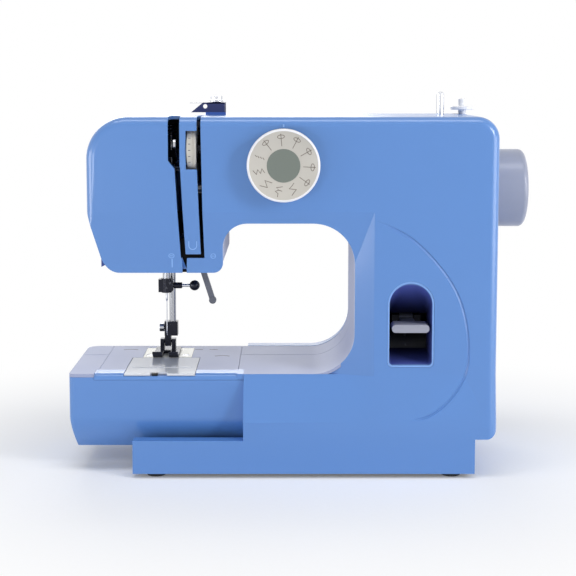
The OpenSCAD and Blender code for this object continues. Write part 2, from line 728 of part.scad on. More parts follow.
module timing_belt() color("#1c1c1e") bar(timing_x + 1, timing_x + timing_w - 1) translate([needle_y, 0])
  difference() {
    belt_loop(timing_r + gear_gap + belt_t, [0, lower_z], timing_r + gear_gap + belt_t, [0, shaft_z]);
    belt_loop(timing_r + gear_gap, [0, lower_z], timing_r + gear_gap, [0, shaft_z]);
  }

// Outline of a belt round two wheels: both circles and the strip between their tangent points.
module belt_loop(r0, c0, r1, c1) {
  d = c1 - c0;
  lean = atan2(d[0], d[1]);
  open = asin((r1 - r0) / norm(d));
  right = [cos(lean + open), -sin(lean + open)];
  left = [-cos(lean - open), sin(lean - open)];
  translate(c0) circle(r0);
  translate(c1) circle(r1);
  polygon([c0 + r0 * right, c1 + r1 * right, c1 + r1 * left, c0 + r0 * left]);
}

module drive_belt() color("#1c1c1e") bar(pulley_x + 2, pulley_x + pulley_w - 2) difference() {
  belt_loop(motor_pulley_r + gear_gap + belt_t, [motor_y, motor_z], pulley_r + gear_gap + belt_t, [needle_y, shaft_z]);
  belt_loop(motor_pulley_r + gear_gap, [motor_y, motor_z], pulley_r + gear_gap, [needle_y, shaft_z]);
}

crank_x = needle_x + 18.5; // left face of the crank disc
module main_shaft() color("silver") {
  rod_x(crank_x + 2, x_body + wheel_w - 6, needle_y, shaft_z, shaft_r);
}

module needle_crank() color("silver") difference() {
  union() {
    rod_x(crank_x, crank_x + 5, needle_y, shaft_z, crank_r + 4);
    rod_x(rod_x0 + rod_w + 0.5, crank_x + bit, needle_y, shaft_z + crank_r, 2.4);
  }
  rod_x(crank_x + 2, crank_x + 6, needle_y, shaft_z, shaft_r);
  for (side = [-1, 1]) rod_x(crank_x - 1, crank_x + 6, needle_y + 11 * side, shaft_z + 3, 3.5);
}

rod_x0 = needle_x + needle_bar_r + bush_t;
rod_w = 2.8;
rod_drop = 27; // from the crank pin down to the needle bar's clamp
module connecting_rod() color("#9aa0a6") difference() {
  union() {
    rod_x(rod_x0, rod_x0 + rod_w, needle_y, shaft_z + crank_r, 4);
    box(rod_x0, rod_x0 + rod_w, needle_y - 2, needle_y + 2, shaft_z + crank_r - rod_drop, shaft_z + crank_r);
    rod_x(rod_x0, rod_x0 + rod_w, needle_y, shaft_z + crank_r - rod_drop, 4);
  }
  rod_x(rod_x0 - 1, rod_x0 + 4, needle_y, shaft_z + crank_r, 2.4 + run_gap);
  rod_x(rod_x0 - 1, rod_x0 + 4, needle_y, shaft_z + crank_r - rod_drop, 1.5);
}

module motor() color("dimgray") {
  rod_x(motor_x, motor_x + motor_len, motor_y, motor_z, motor_r);
  rod_x(motor_x - 4, motor_x + bit, motor_y, motor_z, 8);
  rod_x(motor_x + motor_len - bit, motor_x + motor_len + 3, motor_y, motor_z, 8);
  for (x = [motor_x + 6, motor_x + motor_len - 14])
    box(x, x + 8, motor_y, frame_y, motor_z - 6, motor_z + 6);
}

module motor_pulley() color("silver") {
  rod_x(motor_x + motor_len + 3.4, pulley_x + pulley_w, motor_y, motor_z, 2.5);
  rod_x(pulley_x, pulley_x + pulley_w, motor_y, motor_z, motor_pulley_r);
}

module handwheel() color("#cfd3dc") translate([x_body + pass_gap, needle_y, shaft_z]) rotate([90, 0, 90])
  difference() {
    rotate_extrude($fn = 96) difference() {
      rrect(-wheel_r, 0, wheel_r, wheel_w - 1.2, [0, 1, 4, 4]);
      translate([-wheel_r - 1, -1]) square([wheel_r + 1, wheel_w + 2]);
      translate([shaft_r + 4, -1]) square([wheel_r - 3 - shaft_r - 4, wheel_w - 6]);
      translate([0, wheel_w - 3]) square([14.2, 5]);
    }
    translate([0, 0, -1]) cylinder(h = wheel_w - 5, r = shaft_r);
  }

module handwheel_cap() color("#dfe2e8") translate([x_body + pass_gap, needle_y, shaft_z]) rotate([90, 0, 90])
  rotate_extrude($fn = 96) intersection() {
    translate([0, wheel_w - 3]) square([14, 3]);
    translate([0, wheel_w - 60]) circle(60, $fn = 192);
  }

// ---- Needle, clamp and take-up --------------------------------------------------------------
clamp_z = needle_tip_z + 39.5;
bar_top = clamp_z + 116;
bush_w = 5.5; // height of a bar's bearing
bush_low = head_bottom + 3.2;
bush_high = shaft_z + 2;
presser_high = shaft_z + crank_r + 8; // presser bar's upper bearing

module needle_bar() color("silver") difference() {
  union() {
    rod_z(clamp_z - 1, bar_top, needle_x, needle_y, needle_bar_r);
    rod_x(needle_x, rod_x0 + rod_w, needle_y, shaft_z + crank_r - rod_drop, 1.5);
  }
  rod_z(clamp_z - 2, clamp_z + 5, needle_x, needle_y, 1.05);
}

module needle_clamp() color("#2b2b30") difference() {
  union() {
    rod_z(clamp_z - 5.5, clamp_z + 5.5, needle_x, needle_y, needle_bar_r + 1.2);
    box(needle_x - 6, needle_x + 1, needle_y - 3.5, needle_y + 3, clamp_z - 5, clamp_z + 5);
    box(needle_x + 0.5, needle_x + 5.4, needle_y - 3.7, needle_y + 1.2, clamp_z - 4, clamp_z + 4);
  }
  rod_z(clamp_z - 1, clamp_z + 6, needle_x, needle_y, needle_bar_r);
  rod_z(clamp_z - 6, clamp_z, needle_x, needle_y, 1.05);
  rod_x(needle_x + 1, needle_x + 6, needle_y - 1.2, clamp_z, 1.2 + run_gap);
}

module clamp_screw() color("#3a3a40") {
  x0 = needle_x + needle_bar_r + 0.5;
  rod_x(x0, x0 + 16, needle_y - 1.2, clamp_z, 1.2);
  rod_x(needle_x + 5.8, needle_x + 12.8, needle_y - 1.2, clamp_z, 2.1);
  translate([needle_x + 21.7, needle_y - 1.2, clamp_z]) rotate([0, 90, 0]) rotate_extrude() intersection() {
    translate([0, -4]) square([4.1, 8]);
    circle(4.9);
  }
}

module needle() color("#d8dade") {
  rod_z(needle_tip_z + 29, clamp_z + 4.8, needle_x, needle_y, 1);
  translate([needle_x, needle_y, needle_tip_z + 27]) cylinder(h = 2 + bit, r1 = 0.45, r2 = 1);
  rod_z(needle_tip_z + 4, needle_tip_z + 27 + bit, needle_x, needle_y, 0.45);
  translate([needle_x, needle_y, needle_tip_z]) cylinder(h = 4 + bit, r1 = 0.08, r2 = 0.45);
}

take_x = slot_l0 + 3;
take_y = needle_y - 28;
take_z = shaft_z + 25;
take_t = 2;
module take_up_lever() color("silver") difference() {
  union() {
    rod_x(take_x, take_x + take_t, take_y, take_z, 5);
    bar(take_x, take_x + take_t) polygon([
      [take_y + 1, take_z + 4], [take_y + 1, take_z - 4], [take_y - 35, take_z + 9], [take_y - 35, take_z + 13.5]
    ]);
    rod_x(take_x, take_x + take_t, take_y - 36, take_z + 11.5, 3.4);
  }
  rod_x(take_x - 1, take_x + take_t + 1, take_y, take_z, 2 + run_gap);
  rod_x(take_x - 1, take_x + take_t + 1, take_y - 36, take_z + 11.5, 1.3);
}

// ---- Presser foot and its lever ----------------------------------------------------------------
shank_z = bed_h + 13.3;
shank_h = 11.2;
pin_z = bed_h + 8;
pin_y = presser_y + 1;
presser_top = presser_high + 18;
spring_z0 = presser_high + 10;
spring_z1 = spring_z0 + 15.5;
spring_wire = 0.6;
collar_z = lifter_z + 5;

module presser_bar() color("silver") {
  rod_z(shank_z + 2, presser_top, presser_x, presser_y, presser_r);
  // collar under the spring, and the bracket that the lever's cam lifts
  rod_z(spring_z0 - 2.2, spring_z0 - 0.2, presser_x, presser_y, presser_r + 2.4);
  box(presser_x, lifter_x + 4, presser_y - 2.4, presser_y + 2.4, collar_z, collar_z + 4);
}

// Coil spring swept along its helix with an eight-sided wire.
module presser_spring() color("darkgray") {
  turns = 6;
  sides = 8;
  steps = turns * 12;
  coil_r = presser_r + 0.3 + spring_wire;
  rise = spring_z1 - spring_z0 - 2 * spring_wire;
  ring = function (k) let (a = 360 * k / 12, z = spring_z0 + spring_wire + rise * k / steps)
    [for (j = [0:sides - 1]) let (b = 360 * j / sides, r = coil_r + spring_wire * cos(b))
      [presser_x + r * cos(a), presser_y + r * sin(a), z + spring_wire * sin(b)]];
  points = [for (k = [0:steps]) each ring(k)];
  walls = [for (k = [0:steps - 1]) for (j = [0:sides - 1]) let (n = (j + 1) % sides)
    [k * sides + j, k * sides + n, (k + 1) * sides + n, (k + 1) * sides + j]];
  polyhedron(points, concat(walls, [[for (j = [0:sides - 1]) sides - 1 - j]],
    [[for (j = [0:sides - 1]) steps * sides + j]]));
}

module presser_shank() color("#2b2b30") difference() {
  union() {
    box(needle_x - 2.5, presser_x + 4, presser_y - 3.6, presser_y + 4, shank_z, shank_z + shank_h);
    box(needle_x - 2.4, needle_x + 2.4, presser_y - 3, presser_y + 4, pin_z - 3, shank_z + 1);
  }
  rod_z(shank_z + 2, shank_z + shank_h + 1, presser_x, presser_y, presser_r);
  rod_x(needle_x - 4, presser_x - presser_r, presser_y, shank_z + 6, 1.3 + run_gap);
  rod_x(needle_x - 4, needle_x + 4, pin_y, pin_z, 1.2 + run_gap);
}

module shank_screw() color("silver") {
  rod_x(needle_x - 3, presser_x - presser_r - 0.2, presser_y, shank_z + 6, 1.3);
  rod_x(needle_x - 6.5, needle_x - 2.9, presser_y, shank_z + 6, 3.2);
}

foot_gap = 0.3;
module presser_foot() color("#3c3c42") difference() {
  union() {
    plan(bed_h + foot_gap, bed_h + foot_gap + 2) rrect(needle_x - 9.8, needle_y - 13, needle_x + 9.8, presser_y + 9,
      [2, 2, 3, 3]);
    // upturned toes
    bar(needle_x - 9.8, needle_x + 9.8) polygon([
      [needle_y - 13, bed_h + foot_gap], [needle_y - 13, bed_h + foot_gap + 2], [needle_y - 17, bed_h + 5.5],
      [needle_y - 17, bed_h + 4]
    ]);
    for (side = [-1, 1]) box(needle_x + side * 4.4 - 1.6, needle_x + side * 4.4 + 1.6, pin_y - 3, pin_y + 3,
      bed_h + foot_gap + 1, pin_z + 2.4);
    rod_x(needle_x - 6, needle_x + 6, pin_y, pin_z, 1.2);
  }
  // the heel rises, so that the toes can tip up
  bar(needle_x - 12, needle_x + 12) polygon([
    [pin_y + 2, bed_h], [pin_y + 2, bed_h + foot_gap - bit], [pin_y + 12, bed_h + foot_gap + 1.5], [pin_y + 12, bed_h]
  ]);
  // needle's slot between the toes
  plan(bed_h - 1, bed_h + 9) {
    translate([needle_x - 2.6, needle_y - 20]) square([5.2, 20]);
    translate([needle_x, needle_y]) circle(2.6);
  }
}

module foot_lifter() color("#8f949c") {
  rod_y(presser_y + 1.5, y_body + 1.2, lifter_x, lifter_z, 3);
  // cam under the presser bar's bracket
  rod_y(presser_y - 2.4, presser_y + 2.4, lifter_x, lifter_z, 4);
  box(lifter_x + 1.3, lifter_x + 8, presser_y - 2.2, presser_y + 2.2, lifter_z - 2.4, lifter_z + 2.4);
  // handle behind the head
  y0 = y_body + 0.6;
  y1 = y_body + 4.2;
  rod_y(y0, y1, lifter_x, lifter_z, 6);
  translate([lifter_x, 0, lifter_z]) rotate([0, -17.5, 0]) {
    box(-2.2, 2.2, y0 + 0.1, y1 - 0.1, -49, -2.3);
    rod_y(y0, y1, 0, -50, 2.9);
  }
}

module thread_cutter() color("#35508f") {
  x0 = x_head + taper * (brow_z - head_bottom - 12) / (brow_z - head_bottom - head_corner);
  slab(y_front + 26, y_front + 34) polygon([
    [x0 - 0.1, head_bottom + 12], [x0 - 3, head_bottom + 10.5], [x0 - 3, head_bottom + 1],
    [x0 + 1, head_bottom + 3], [x0 - 0.6, head_bottom + 5], [x0 + 0.1, head_bottom + 8]
  ]);
}

// ---- Thread tension --------------------------------------------------------------------------------
module tension_dial() color("#e4e1d6") translate([tension_x - tension_w / 2 + 0.5, tension_y, tension_z])
  rotate([90, 0, 90]) linear_extrude(tension_w - 1) difference() {
    circle(tension_r, $fn = 96);
    for (a = [0:15:345]) rotate(a) translate([tension_r + 0.5, 0]) circle(0.9, $fn = 16);
    circle(3 + run_gap);
  }

module tension_discs() color("silver") {
  x0 = slot_r0 + 0.3;
  rod_x(tension_x - tension_w / 2 + 0.5, x0 + 12, tension_y, tension_z, 3);
  rod_x(x0 - 0.7, x0 - 0.1, tension_y, tension_z, 10);
  rod_x(x0 + 2.6, x0 + 3.2, tension_y, tension_z, 10);
  rod_x(x0 + 3.2 - bit, x0 + 9, tension_y, tension_z, 4.5);
}

// ---- Stitch dial -------------------------------------------------------------------------------------
module stitch_dial() color("#dedbd2") translate([dial_x, y_dial, dial_z]) rotate([-90, 0, 0]) difference() {
  union() {
    rotate_extrude($fn = 96) polygon([
      [0, 0], [dial_r - 2.2, 0], [dial_r - 0.3, 1.9], [dial_r, 3], [dial_r, dial_stand - 0.6], [0, dial_stand - 0.6]
    ]);
  }
  translate([0, 0, -1]) cylinder(h = 1.4, r = 12.6, $fn = 96);
}

cam_y0 = y_front + 12;
module stitch_cam() color("#e9e7e0") {
  rod_y(y_dial + dial_stand - 0.6, needle_y - 26, dial_x, dial_z, 4);
  for (k = [0:2]) translate([dial_x, cam_y0 + 6 * k + 4, dial_z]) rotate([90, 0, 0]) linear_extrude(4)
    difference() {
      circle(17);
      for (a = [0:1:3 + k]) rotate(360 / (4 + k) * a + 20 * k) translate([18, 0]) circle(4.5);
    }
}

// ---- Reverse lever -------------------------------------------------------------------------------------
mouth_z0 = well_z + 8;
mouth_z1 = well_z + 33;
reverse_z = well_z + 27.7;
reverse_y = y_front + well_d + 9;
module lever_well() color("#2c3a86") difference() {
  slab(y_front + 0.3, y_front + well_d) well_outline(seam);
  hull() {
    slab(y_front - 1, y_front + 1.5) well_outline(seam + 1.2);
    slab(y_front + well_d - 3, y_front + well_d + 1)
      rrect(well_x0 + 2.4, mouth_z0, well_x1 - 2.4, mouth_z1, [0, 0, 0, 0]);
  }
}

module reverse_lever() color("#d6d3c8") difference() {
  x0 = (well_x0 + well_x1 - reverse_w) / 2;
  xm = (well_x0 + well_x1) / 2;
  union() {
    slab(y_front + 1.2, y_front + 16) rrect(x0, reverse_z - 2.9, x0 + reverse_w, reverse_z + 2.9,
      [2.8, 2.8, 2.8, 2.8]);
    box(xm - 5, xm + 5, y_front + 14, reverse_y, reverse_z - 2, reverse_z + 2);
    rod_x(xm - 5, xm + 5, reverse_y, reverse_z, 4.5);
  }
  rod_x(xm - 6, xm + 6, reverse_y, reverse_z, 2 + run_gap);
}

// ---- Frame ---------------------------------------------------------------------------------------------
bearing_places = [x_arch0 - 16, x_body - 40]; // left faces of the main shaft's bearings
lower_places = [x_skirt - 20, timing_x - 12]; // and of the lower shaft's
bearing_w = 9;
hook_bearing_z = arm_under + wall + 2;

// Lug that reaches forward from the plate to y0.
module lug(x0, x1, y0, z0, z1) box(x0, x1, y0, frame_y + bit, z0, z1);

module main_frame() color("#a9adb3") difference() {
  xm = (well_x0 + well_x1) / 2;
  union() {
    slab(frame_y, frame_y + frame_t) difference() {
      translate([x_head + 12, arm_under + wall + 2]) square([x_body - 24 - x_head - 12, body_h - 13 - arm_under - wall]);
      arch_outline(wall + liner_t + 4);
      for (k = [0:3]) translate([x_arch0 + 20 + 24 * k, arch_top + 40]) circle(8);
      translate([x_arch1 + 26, bed_h + 66]) rrect(0, 0, 40, 40, [6, 6, 6, 6]);
    }
    // lower arm of the casting, inside the free arm
    box(x_arm + 10, x_arch1 + 20, frame_y, frame_y + frame_t, arm_under + wall + 2, bed_h - 14);
    for (x = bearing_places) lug(x, x + bearing_w, needle_y - 11, shaft_z - 10, shaft_z + 10);
    for (x = lower_places) lug(x, x + bearing_w, needle_y - 9, lower_z - 9, lower_z + 9);
    lug(needle_x - 8, presser_x + 6, needle_y - 7, bush_low, bush_low + bush_w);
    box(needle_x - 8, presser_x + 6, frame_y, frame_y + frame_t, bush_low, bush_low + 2 * bush_w);
    lug(needle_x - 8, rod_x0 - 0.3, needle_y - 7, bush_high, bush_high + bush_w);
    lug(presser_x - 5.5, presser_x + 5.5, presser_y - 3.8, presser_high, presser_high + bush_w);
    lug(take_x + take_t + 0.6, take_x + take_t + 9, take_y - 5, take_z - 4, take_z + 4);
    rod_x(take_x - 1, take_x + take_t + 1, take_y, take_z, 2);
    lug(slot_r0 + 10, slot_r0 + 18, tension_y - 6, tension_z - 6, tension_z + 6);
    lug(dial_x - 8, dial_x + 8, needle_y - 36, dial_z - 7, dial_z + 7);
    for (side = [-1, 1]) lug(xm + side * 8 - 2.6, xm + side * 8 + 2.6, reverse_y - 5, reverse_z - 4, reverse_z + 4);
    rod_x(xm - 8, xm + 8, reverse_y, reverse_z, 2);
    // bearing of the hook's shaft, and posts under the needle plate
    rod_z(hook_bearing_z, hook_bearing_z + 4, needle_x, hook_y, 8);
    for (side = [-1, 1]) lug(needle_x + side * 7.5 - 2.5, needle_x + side * 7.5 + 2.5, hook_y, hook_bearing_z, hook_bearing_z + 4);
    for (x = [needle_plate_x0 + 2, needle_plate_x1 - 8]) {
      lug(x, x + 6, needle_y - 7, bed_under - 4, bed_under - 0.1);
      box(x, x + 6, frame_y, frame_y + frame_t, bed_h - 16, bed_under - 0.1);
    }
    // seat of the presser spring
    box(presser_x - 6, presser_x + 6, presser_y - 5, frame_y + frame_t, spring_z1 + 0.2, spring_z1 + 4);
    box(presser_x - 6, presser_x + 6, frame_y, frame_y + frame_t, body_h - 14, spring_z1 + 1);
  }
  for (x = bearing_places) rod_x(x - 1, x + bearing_w + 1, needle_y, shaft_z, shaft_r + bush_t);
  for (x = lower_places) rod_x(x - 1, x + bearing_w + 1, needle_y, lower_z, lower_r + bush_t);
  for (z = [bush_low, bush_high]) rod_z(z - 1, z + bush_w + 1, needle_x, needle_y, needle_bar_r + bush_t - 0.6);
  for (z = [bush_low, presser_high]) rod_z(z - 1, z + bush_w + 1, presser_x, presser_y, presser_r + run_gap);
  rod_z(bush_high - 1, bush_high + bush_w + 1, presser_x, presser_y, presser_r + pass_gap);
  rod_z(arm_under, bed_h - 20, needle_x, hook_y, 4 + run_gap);
  // window behind the crank
  box(needle_x + 6, crank_x + 6, frame_y - 1, frame_y + frame_t + 1, shaft_z - crank_r - 5, shaft_z + crank_r + 4);
  rod_x(slot_r0 + 9, slot_r0 + 19, tension_y, tension_z, 3);
  rod_y(needle_y - 37, needle_y - 26 + 0.5, dial_x, dial_z, 4 + run_gap);
  rod_y(frame_y - 1, frame_y + frame_t + 1, lifter_x, lifter_z, 3.6);
  for (p = screw_places) rod_y(frame_y - 1, frame_y + frame_t + 1, p[0], p[1], screw_r + 0.1);
  for (x = [needle_plate_x0 + 5, needle_plate_x1 - 5]) rod_z(bed_under - 7, bed_h, x, needle_y - 4, 1.5);
}

module bush_x(x, z, r) difference() {
  rod_x(x, x + bearing_w, needle_y, z, r + bush_t);
  rod_x(x - 1, x + bearing_w + 1, needle_y, z, r + run_gap);
}

module shaft_bushes() color("#c79b54") {
  for (x = bearing_places) bush_x(x, shaft_z, shaft_r);
  for (x = lower_places) bush_x(x, lower_z, lower_r);
  for (z = [bush_low, bush_high]) difference() {
    rod_z(z, z + bush_w, needle_x, needle_y, needle_bar_r + bush_t - 0.6);
    rod_z(z - 1, z + bush_w + 1, needle_x, needle_y, needle_bar_r + run_gap);
  }
}

// ---- Fittings on top, and the socket -------------------------------------------------------------------
guide_x0 = x_head + 82.3;
guide_x1 = x_head + 95.8;
guide_y0 = y_front + 61;
guide_y1 = y_front + 75;
guide_h = 8;
module thread_guide() {
  color("#3f66b4") box(guide_x0, guide_x1, guide_y0, guide_y1, body_h, body_h + guide_h);
  color("#55585e") {
    slab(guide_y0 - 1.2, guide_y0 + bit) difference() {
      polygon([
        [guide_x0 - 9, body_h + 2.2], [guide_x1, body_h + 2.2], [guide_x1, body_h + guide_h + 1.2],
        [guide_x0 - 12.8, body_h + guide_h + 1.2], [guide_x0 - 12.8, body_h + guide_h]
      ]);
      translate([guide_x0 - 1.4, body_h + 7.4]) circle(1.7);
    }
    box(guide_x0, guide_x1, guide_y0 - 1.2, guide_y1, body_h + guide_h - bit, body_h + guide_h + 1.2);
  }
}

module guide_nut() color("silver") {
  z0 = body_h + guide_h + 1.2;
  x = (guide_x0 + guide_x1) / 2;
  y = (guide_y0 + guide_y1) / 2;
  translate([x, y, z0]) rotate_extrude() difference() {
    union() {
      translate([0, 0]) square([3, 5.4]);
      translate([0, 0.4]) square([5.2, 0.7]);
      translate([0, 1.5]) square([5.4, 0.7]);
      translate([0, 2.2]) square([4.6, 2.6]);
    }
    translate([-1, 4.6]) square([2.4, 2]);
  }
}

module spool_pin() color("#e2e4e8") {
  rod_z(body_h - 34, body_h + 1, spool_x, spool_y, spool_r - 0.4);
  rod_z(body_h + 0.3, body_h + spool_up - 1.4, spool_x, spool_y, spool_r);
  translate([spool_x, spool_y, body_h + spool_up - 1.4 - bit]) cylinder(h = 1.4 + bit, r1 = spool_r, r2 = spool_r - 1.2);
}

winder_up = 11.6;
module winder() color("#eceef2") {
  z0 = body_h + 3.2;
  rod_z(body_h - 10, body_h + winder_up, winder_x, winder_y, 3);
  rod_z(z0, z0 + 2.4, winder_x, winder_y, winder_r);
  rod_z(body_h - 14, body_h - 10, winder_x, winder_y, 6);
}

module power_socket() color("#1c1c1e") difference() {
  union() {
    box(x_body - 14, x_body + bit, socket_y - 9.8, socket_y + 9.8, socket_z - 7.8, socket_z + 7.8);
    box(x_body + seam, x_body + 1.2, socket_y - 11.5, socket_y + 11.5, socket_z - 9.5, socket_z + 9.5);
    box(x_body, x_body + seam + bit, socket_y - 9.8, socket_y + 9.8, socket_z - 7.8, socket_z + 7.8);
  }
  box(x_body - 11, x_body + 2, socket_y - 7.5, socket_y + 7.5, socket_z - 5.5, socket_z + 5.5);
}

// ---- The pieces ----
front_cover();
rear_cover();
base_plate();
rubber_feet();
cover_screws();
arm_cover();
front_rail();
bed_plate();
bed_end();
arch_liner_front();
arch_liner_rear();
needle_plate();
plate_screws();
bobbin_cover();
cover_latch();
feed_bar();
feed_dog();
bobbin_case();
bobbin();
hook();
hook_gear();
lower_shaft();
lower_gear();
lower_pulley();
timing_belt();
main_frame();
main_shaft();
shaft_bushes();
handwheel();
handwheel_cap();
belt_pulley();
timing_pulley();
needle_crank();
connecting_rod();
drive_belt();
motor();
motor_pulley();
needle_bar();
needle_clamp();
clamp_screw();
needle();
take_up_lever();
presser_bar();
presser_spring();
presser_shank();
shank_screw();
presser_foot();
foot_lifter();
thread_cutter();
tension_dial();
tension_discs();
stitch_dial();
stitch_cam();
lever_well();
reverse_lever();
thread_guide();
guide_nut();
spool_pin();
winder();
power_socket();
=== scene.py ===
"""Looks of a slim household sewing machine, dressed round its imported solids."""

import json
import logging
import math
from dataclasses import dataclass
from enum import Enum
from typing import Any, Callable, Sequence

import bmesh
import bpy
from mathutils import Matrix, Vector

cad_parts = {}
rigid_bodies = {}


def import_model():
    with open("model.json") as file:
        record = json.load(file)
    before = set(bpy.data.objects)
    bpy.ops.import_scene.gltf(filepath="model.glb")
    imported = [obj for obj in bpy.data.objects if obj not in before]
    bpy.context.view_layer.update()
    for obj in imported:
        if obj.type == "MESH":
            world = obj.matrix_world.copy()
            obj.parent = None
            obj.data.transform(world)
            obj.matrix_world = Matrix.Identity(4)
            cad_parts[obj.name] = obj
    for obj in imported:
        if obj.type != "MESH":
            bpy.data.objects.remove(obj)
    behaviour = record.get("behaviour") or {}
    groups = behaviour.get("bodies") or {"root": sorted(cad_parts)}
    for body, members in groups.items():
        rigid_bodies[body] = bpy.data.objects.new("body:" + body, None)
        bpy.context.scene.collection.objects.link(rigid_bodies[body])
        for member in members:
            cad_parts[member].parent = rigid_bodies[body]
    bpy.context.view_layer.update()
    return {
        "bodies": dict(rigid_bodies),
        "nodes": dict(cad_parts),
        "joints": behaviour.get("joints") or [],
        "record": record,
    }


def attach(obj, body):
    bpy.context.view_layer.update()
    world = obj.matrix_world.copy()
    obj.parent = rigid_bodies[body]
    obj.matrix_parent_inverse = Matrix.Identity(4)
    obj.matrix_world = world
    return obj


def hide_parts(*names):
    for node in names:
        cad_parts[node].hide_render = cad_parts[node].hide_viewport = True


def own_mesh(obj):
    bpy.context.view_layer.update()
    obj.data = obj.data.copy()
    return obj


log = logging.getLogger("sewing_machine")
MM = 0.001
Point2 = tuple[float, float]
Point3 = tuple[float, float, float]
Colour = tuple[float, float, float]
Placer = Callable[[float, float, float], Point3]

# Planes and axes of the machine, in millimetres
FRONT_Y = -57.0
BED_Z = 73.5
TOP_Z = 259.0
BROW_Z = 191.8
BROW_LEAN = 0.11
SKIRT_Z = 41.0
BASE_Y = -62.0
CREASE_X = 50.5
FACET_LEAN = 0.3
DIAL = (-14.0, 225.3)
WHEEL_AXIS = (16.0, 203.0)


# ---------------------------------------------------------------- shader maths


class Wire:
    """A socket with Python's operators, each of which adds a Math node."""

    def __init__(self, graph: "Graph", socket: bpy.types.NodeSocket) -> None:
        """Wraps a socket of a graph."""
        self.graph = graph
        self.socket = socket

    def _math(self, operation: str, first: Any, second: Any) -> "Wire":
        """Adds one Math node that works on two values or wires."""
        return self.graph.node("ShaderNodeMath", {"operation": operation}, {0: first, 1: second})[0]

    def __add__(self, other: Any) -> "Wire":
        """Sum."""
        return self._math("ADD", self, other)

    def __radd__(self, other: Any) -> "Wire":
        """Sum, reflected."""
        return self._math("ADD", other, self)

    def __sub__(self, other: Any) -> "Wire":
        """Difference."""
        return self._math("SUBTRACT", self, other)

    def __rsub__(self, other: Any) -> "Wire":
        """Difference, reflected."""
        return self._math("SUBTRACT", other, self)

    def __mul__(self, other: Any) -> "Wire":
        """Product."""
        return self._math("MULTIPLY", self, other)

    def __rmul__(self, other: Any) -> "Wire":
        """Product, reflected."""
        return self._math("MULTIPLY", other, self)

    def __gt__(self, other: Any) -> "Wire":
        """One where this is the greater, otherwise zero."""
        return self._math("GREATER_THAN", self, other)


class Graph:
    """The node tree of one material."""

    def __init__(self, name: str) -> None:
        """Makes an empty material with its output.

        Args:
            name: The material's name.
        """
        self.material = bpy.data.materials.new(name)
        self.material.use_nodes = True
        self.tree = self.material.node_tree
        self.tree.nodes.clear()
        self.output = self.tree.nodes.new("ShaderNodeOutputMaterial")

    def node(self, kind: str, settings: dict[str, Any] | None = None,
             inputs: dict[Any, Any] | None = None) -> list[Wire]:
        """Adds a node.

        Args:
            kind: The node's type.
            settings: Attributes that are set before the sockets; "stops" sets a colour ramp.
            inputs: Values or wires by socket name or number.

        Returns:
            The node's outputs as wires.
        """
        made = self.tree.nodes.new(kind)
        for key, value in (settings or {}).items():
            if key == "stops":
                ramp = made.color_ramp
                while len(ramp.elements) < len(value):
                    ramp.elements.new(0.5)
                for element, (place, colour) in zip(ramp.elements, value):
                    element.position = place
                    element.color = (*colour, 1.0)
            else:
                setattr(made, key, value)
        for key, value in (inputs or {}).items():
            if isinstance(value, Wire):
                self.tree.links.new(value.socket, made.inputs[key])
            else:
                made.inputs[key].default_value = value
        return [Wire(self, s) for s in made.outputs]

    def noise(self, scale: float, detail: float = 2.0, stretch: Point3 = (1.0, 1.0, 1.0)) -> Wire:
        """Noise on Object coordinates.

        Args:
            scale: Cycles per metre.
            detail: Octaves of finer noise.
            stretch: Scale along each axis; a small value draws the noise out along it.

        Returns:
            The noise, about 0 to 1.
        """
        place = self.node("ShaderNodeTexCoord")[3]
        mapped = self.node("ShaderNodeMapping", None, {0: place, 3: stretch})[0]
        return self.node("ShaderNodeTexNoise", None, {"Vector": mapped, "Scale": scale, "Detail": detail})[0]

    def axis(self, index: int) -> Wire:
        """One coordinate of the Object coordinates, in metres."""
        place = self.node("ShaderNodeTexCoord")[3]
        return self.node("ShaderNodeSeparateXYZ", None, {0: place})[index]

    def blend(self, factor: Any, first: Any, second: Any) -> Wire:
        """Mixes two colours.

        Args:
            factor: Share of the second colour, a value or a wire.
            first: First colour, a value or a wire.
            second: Second colour, a value or a wire.

        Returns:
            The mixed colour.
        """
        made = self.tree.nodes.new("ShaderNodeMix")
        made.data_type = "RGBA"
        for key, value in ((0, factor), (6, first), (7, second)):
            if isinstance(value, Wire):
                self.tree.links.new(value.socket, made.inputs[key])
            elif key == 0:
                made.inputs[key].default_value = value
            else:
                made.inputs[key].default_value = (*value, 1.0)
        return Wire(self, made.outputs[2])

    def bump(self, height: Wire, depth: float, strength: float = 1.0) -> Wire:
        """Turns a height into a normal; depth is in metres."""
        sockets = {"Strength": strength, "Distance": depth, "Height": height}
        return self.node("ShaderNodeBump", None, sockets)[0]

    def close(self, shader: Wire) -> bpy.types.Material:
        """Links the last shader to the output and gives the material."""
        self.tree.links.new(shader.socket, self.output.inputs[0])
        return self.material


def shade(red: int, green: int, blue: int) -> Colour:
    """Turns an 8-bit display colour into a linear one.

    Args:
        red: Red, 0 to 255.
        green: Green, 0 to 255.
        blue: Blue, 0 to 255.

    Returns:
        The linear colour.
    """

    def one(value: int) -> float:
        """Linear value of one channel."""
        c = value / 255
        return c / 12.92 if c <= 0.04045 else ((c + 0.055) / 1.055) ** 2.4

    return one(red), one(green), one(blue)


def toned(colour: Colour, factor: float) -> Colour:
    """A colour made lighter or darker by a factor."""
    return tuple(min(1.0, c * factor) for c in colour)


# ---------------------------------------------------------------- finishes


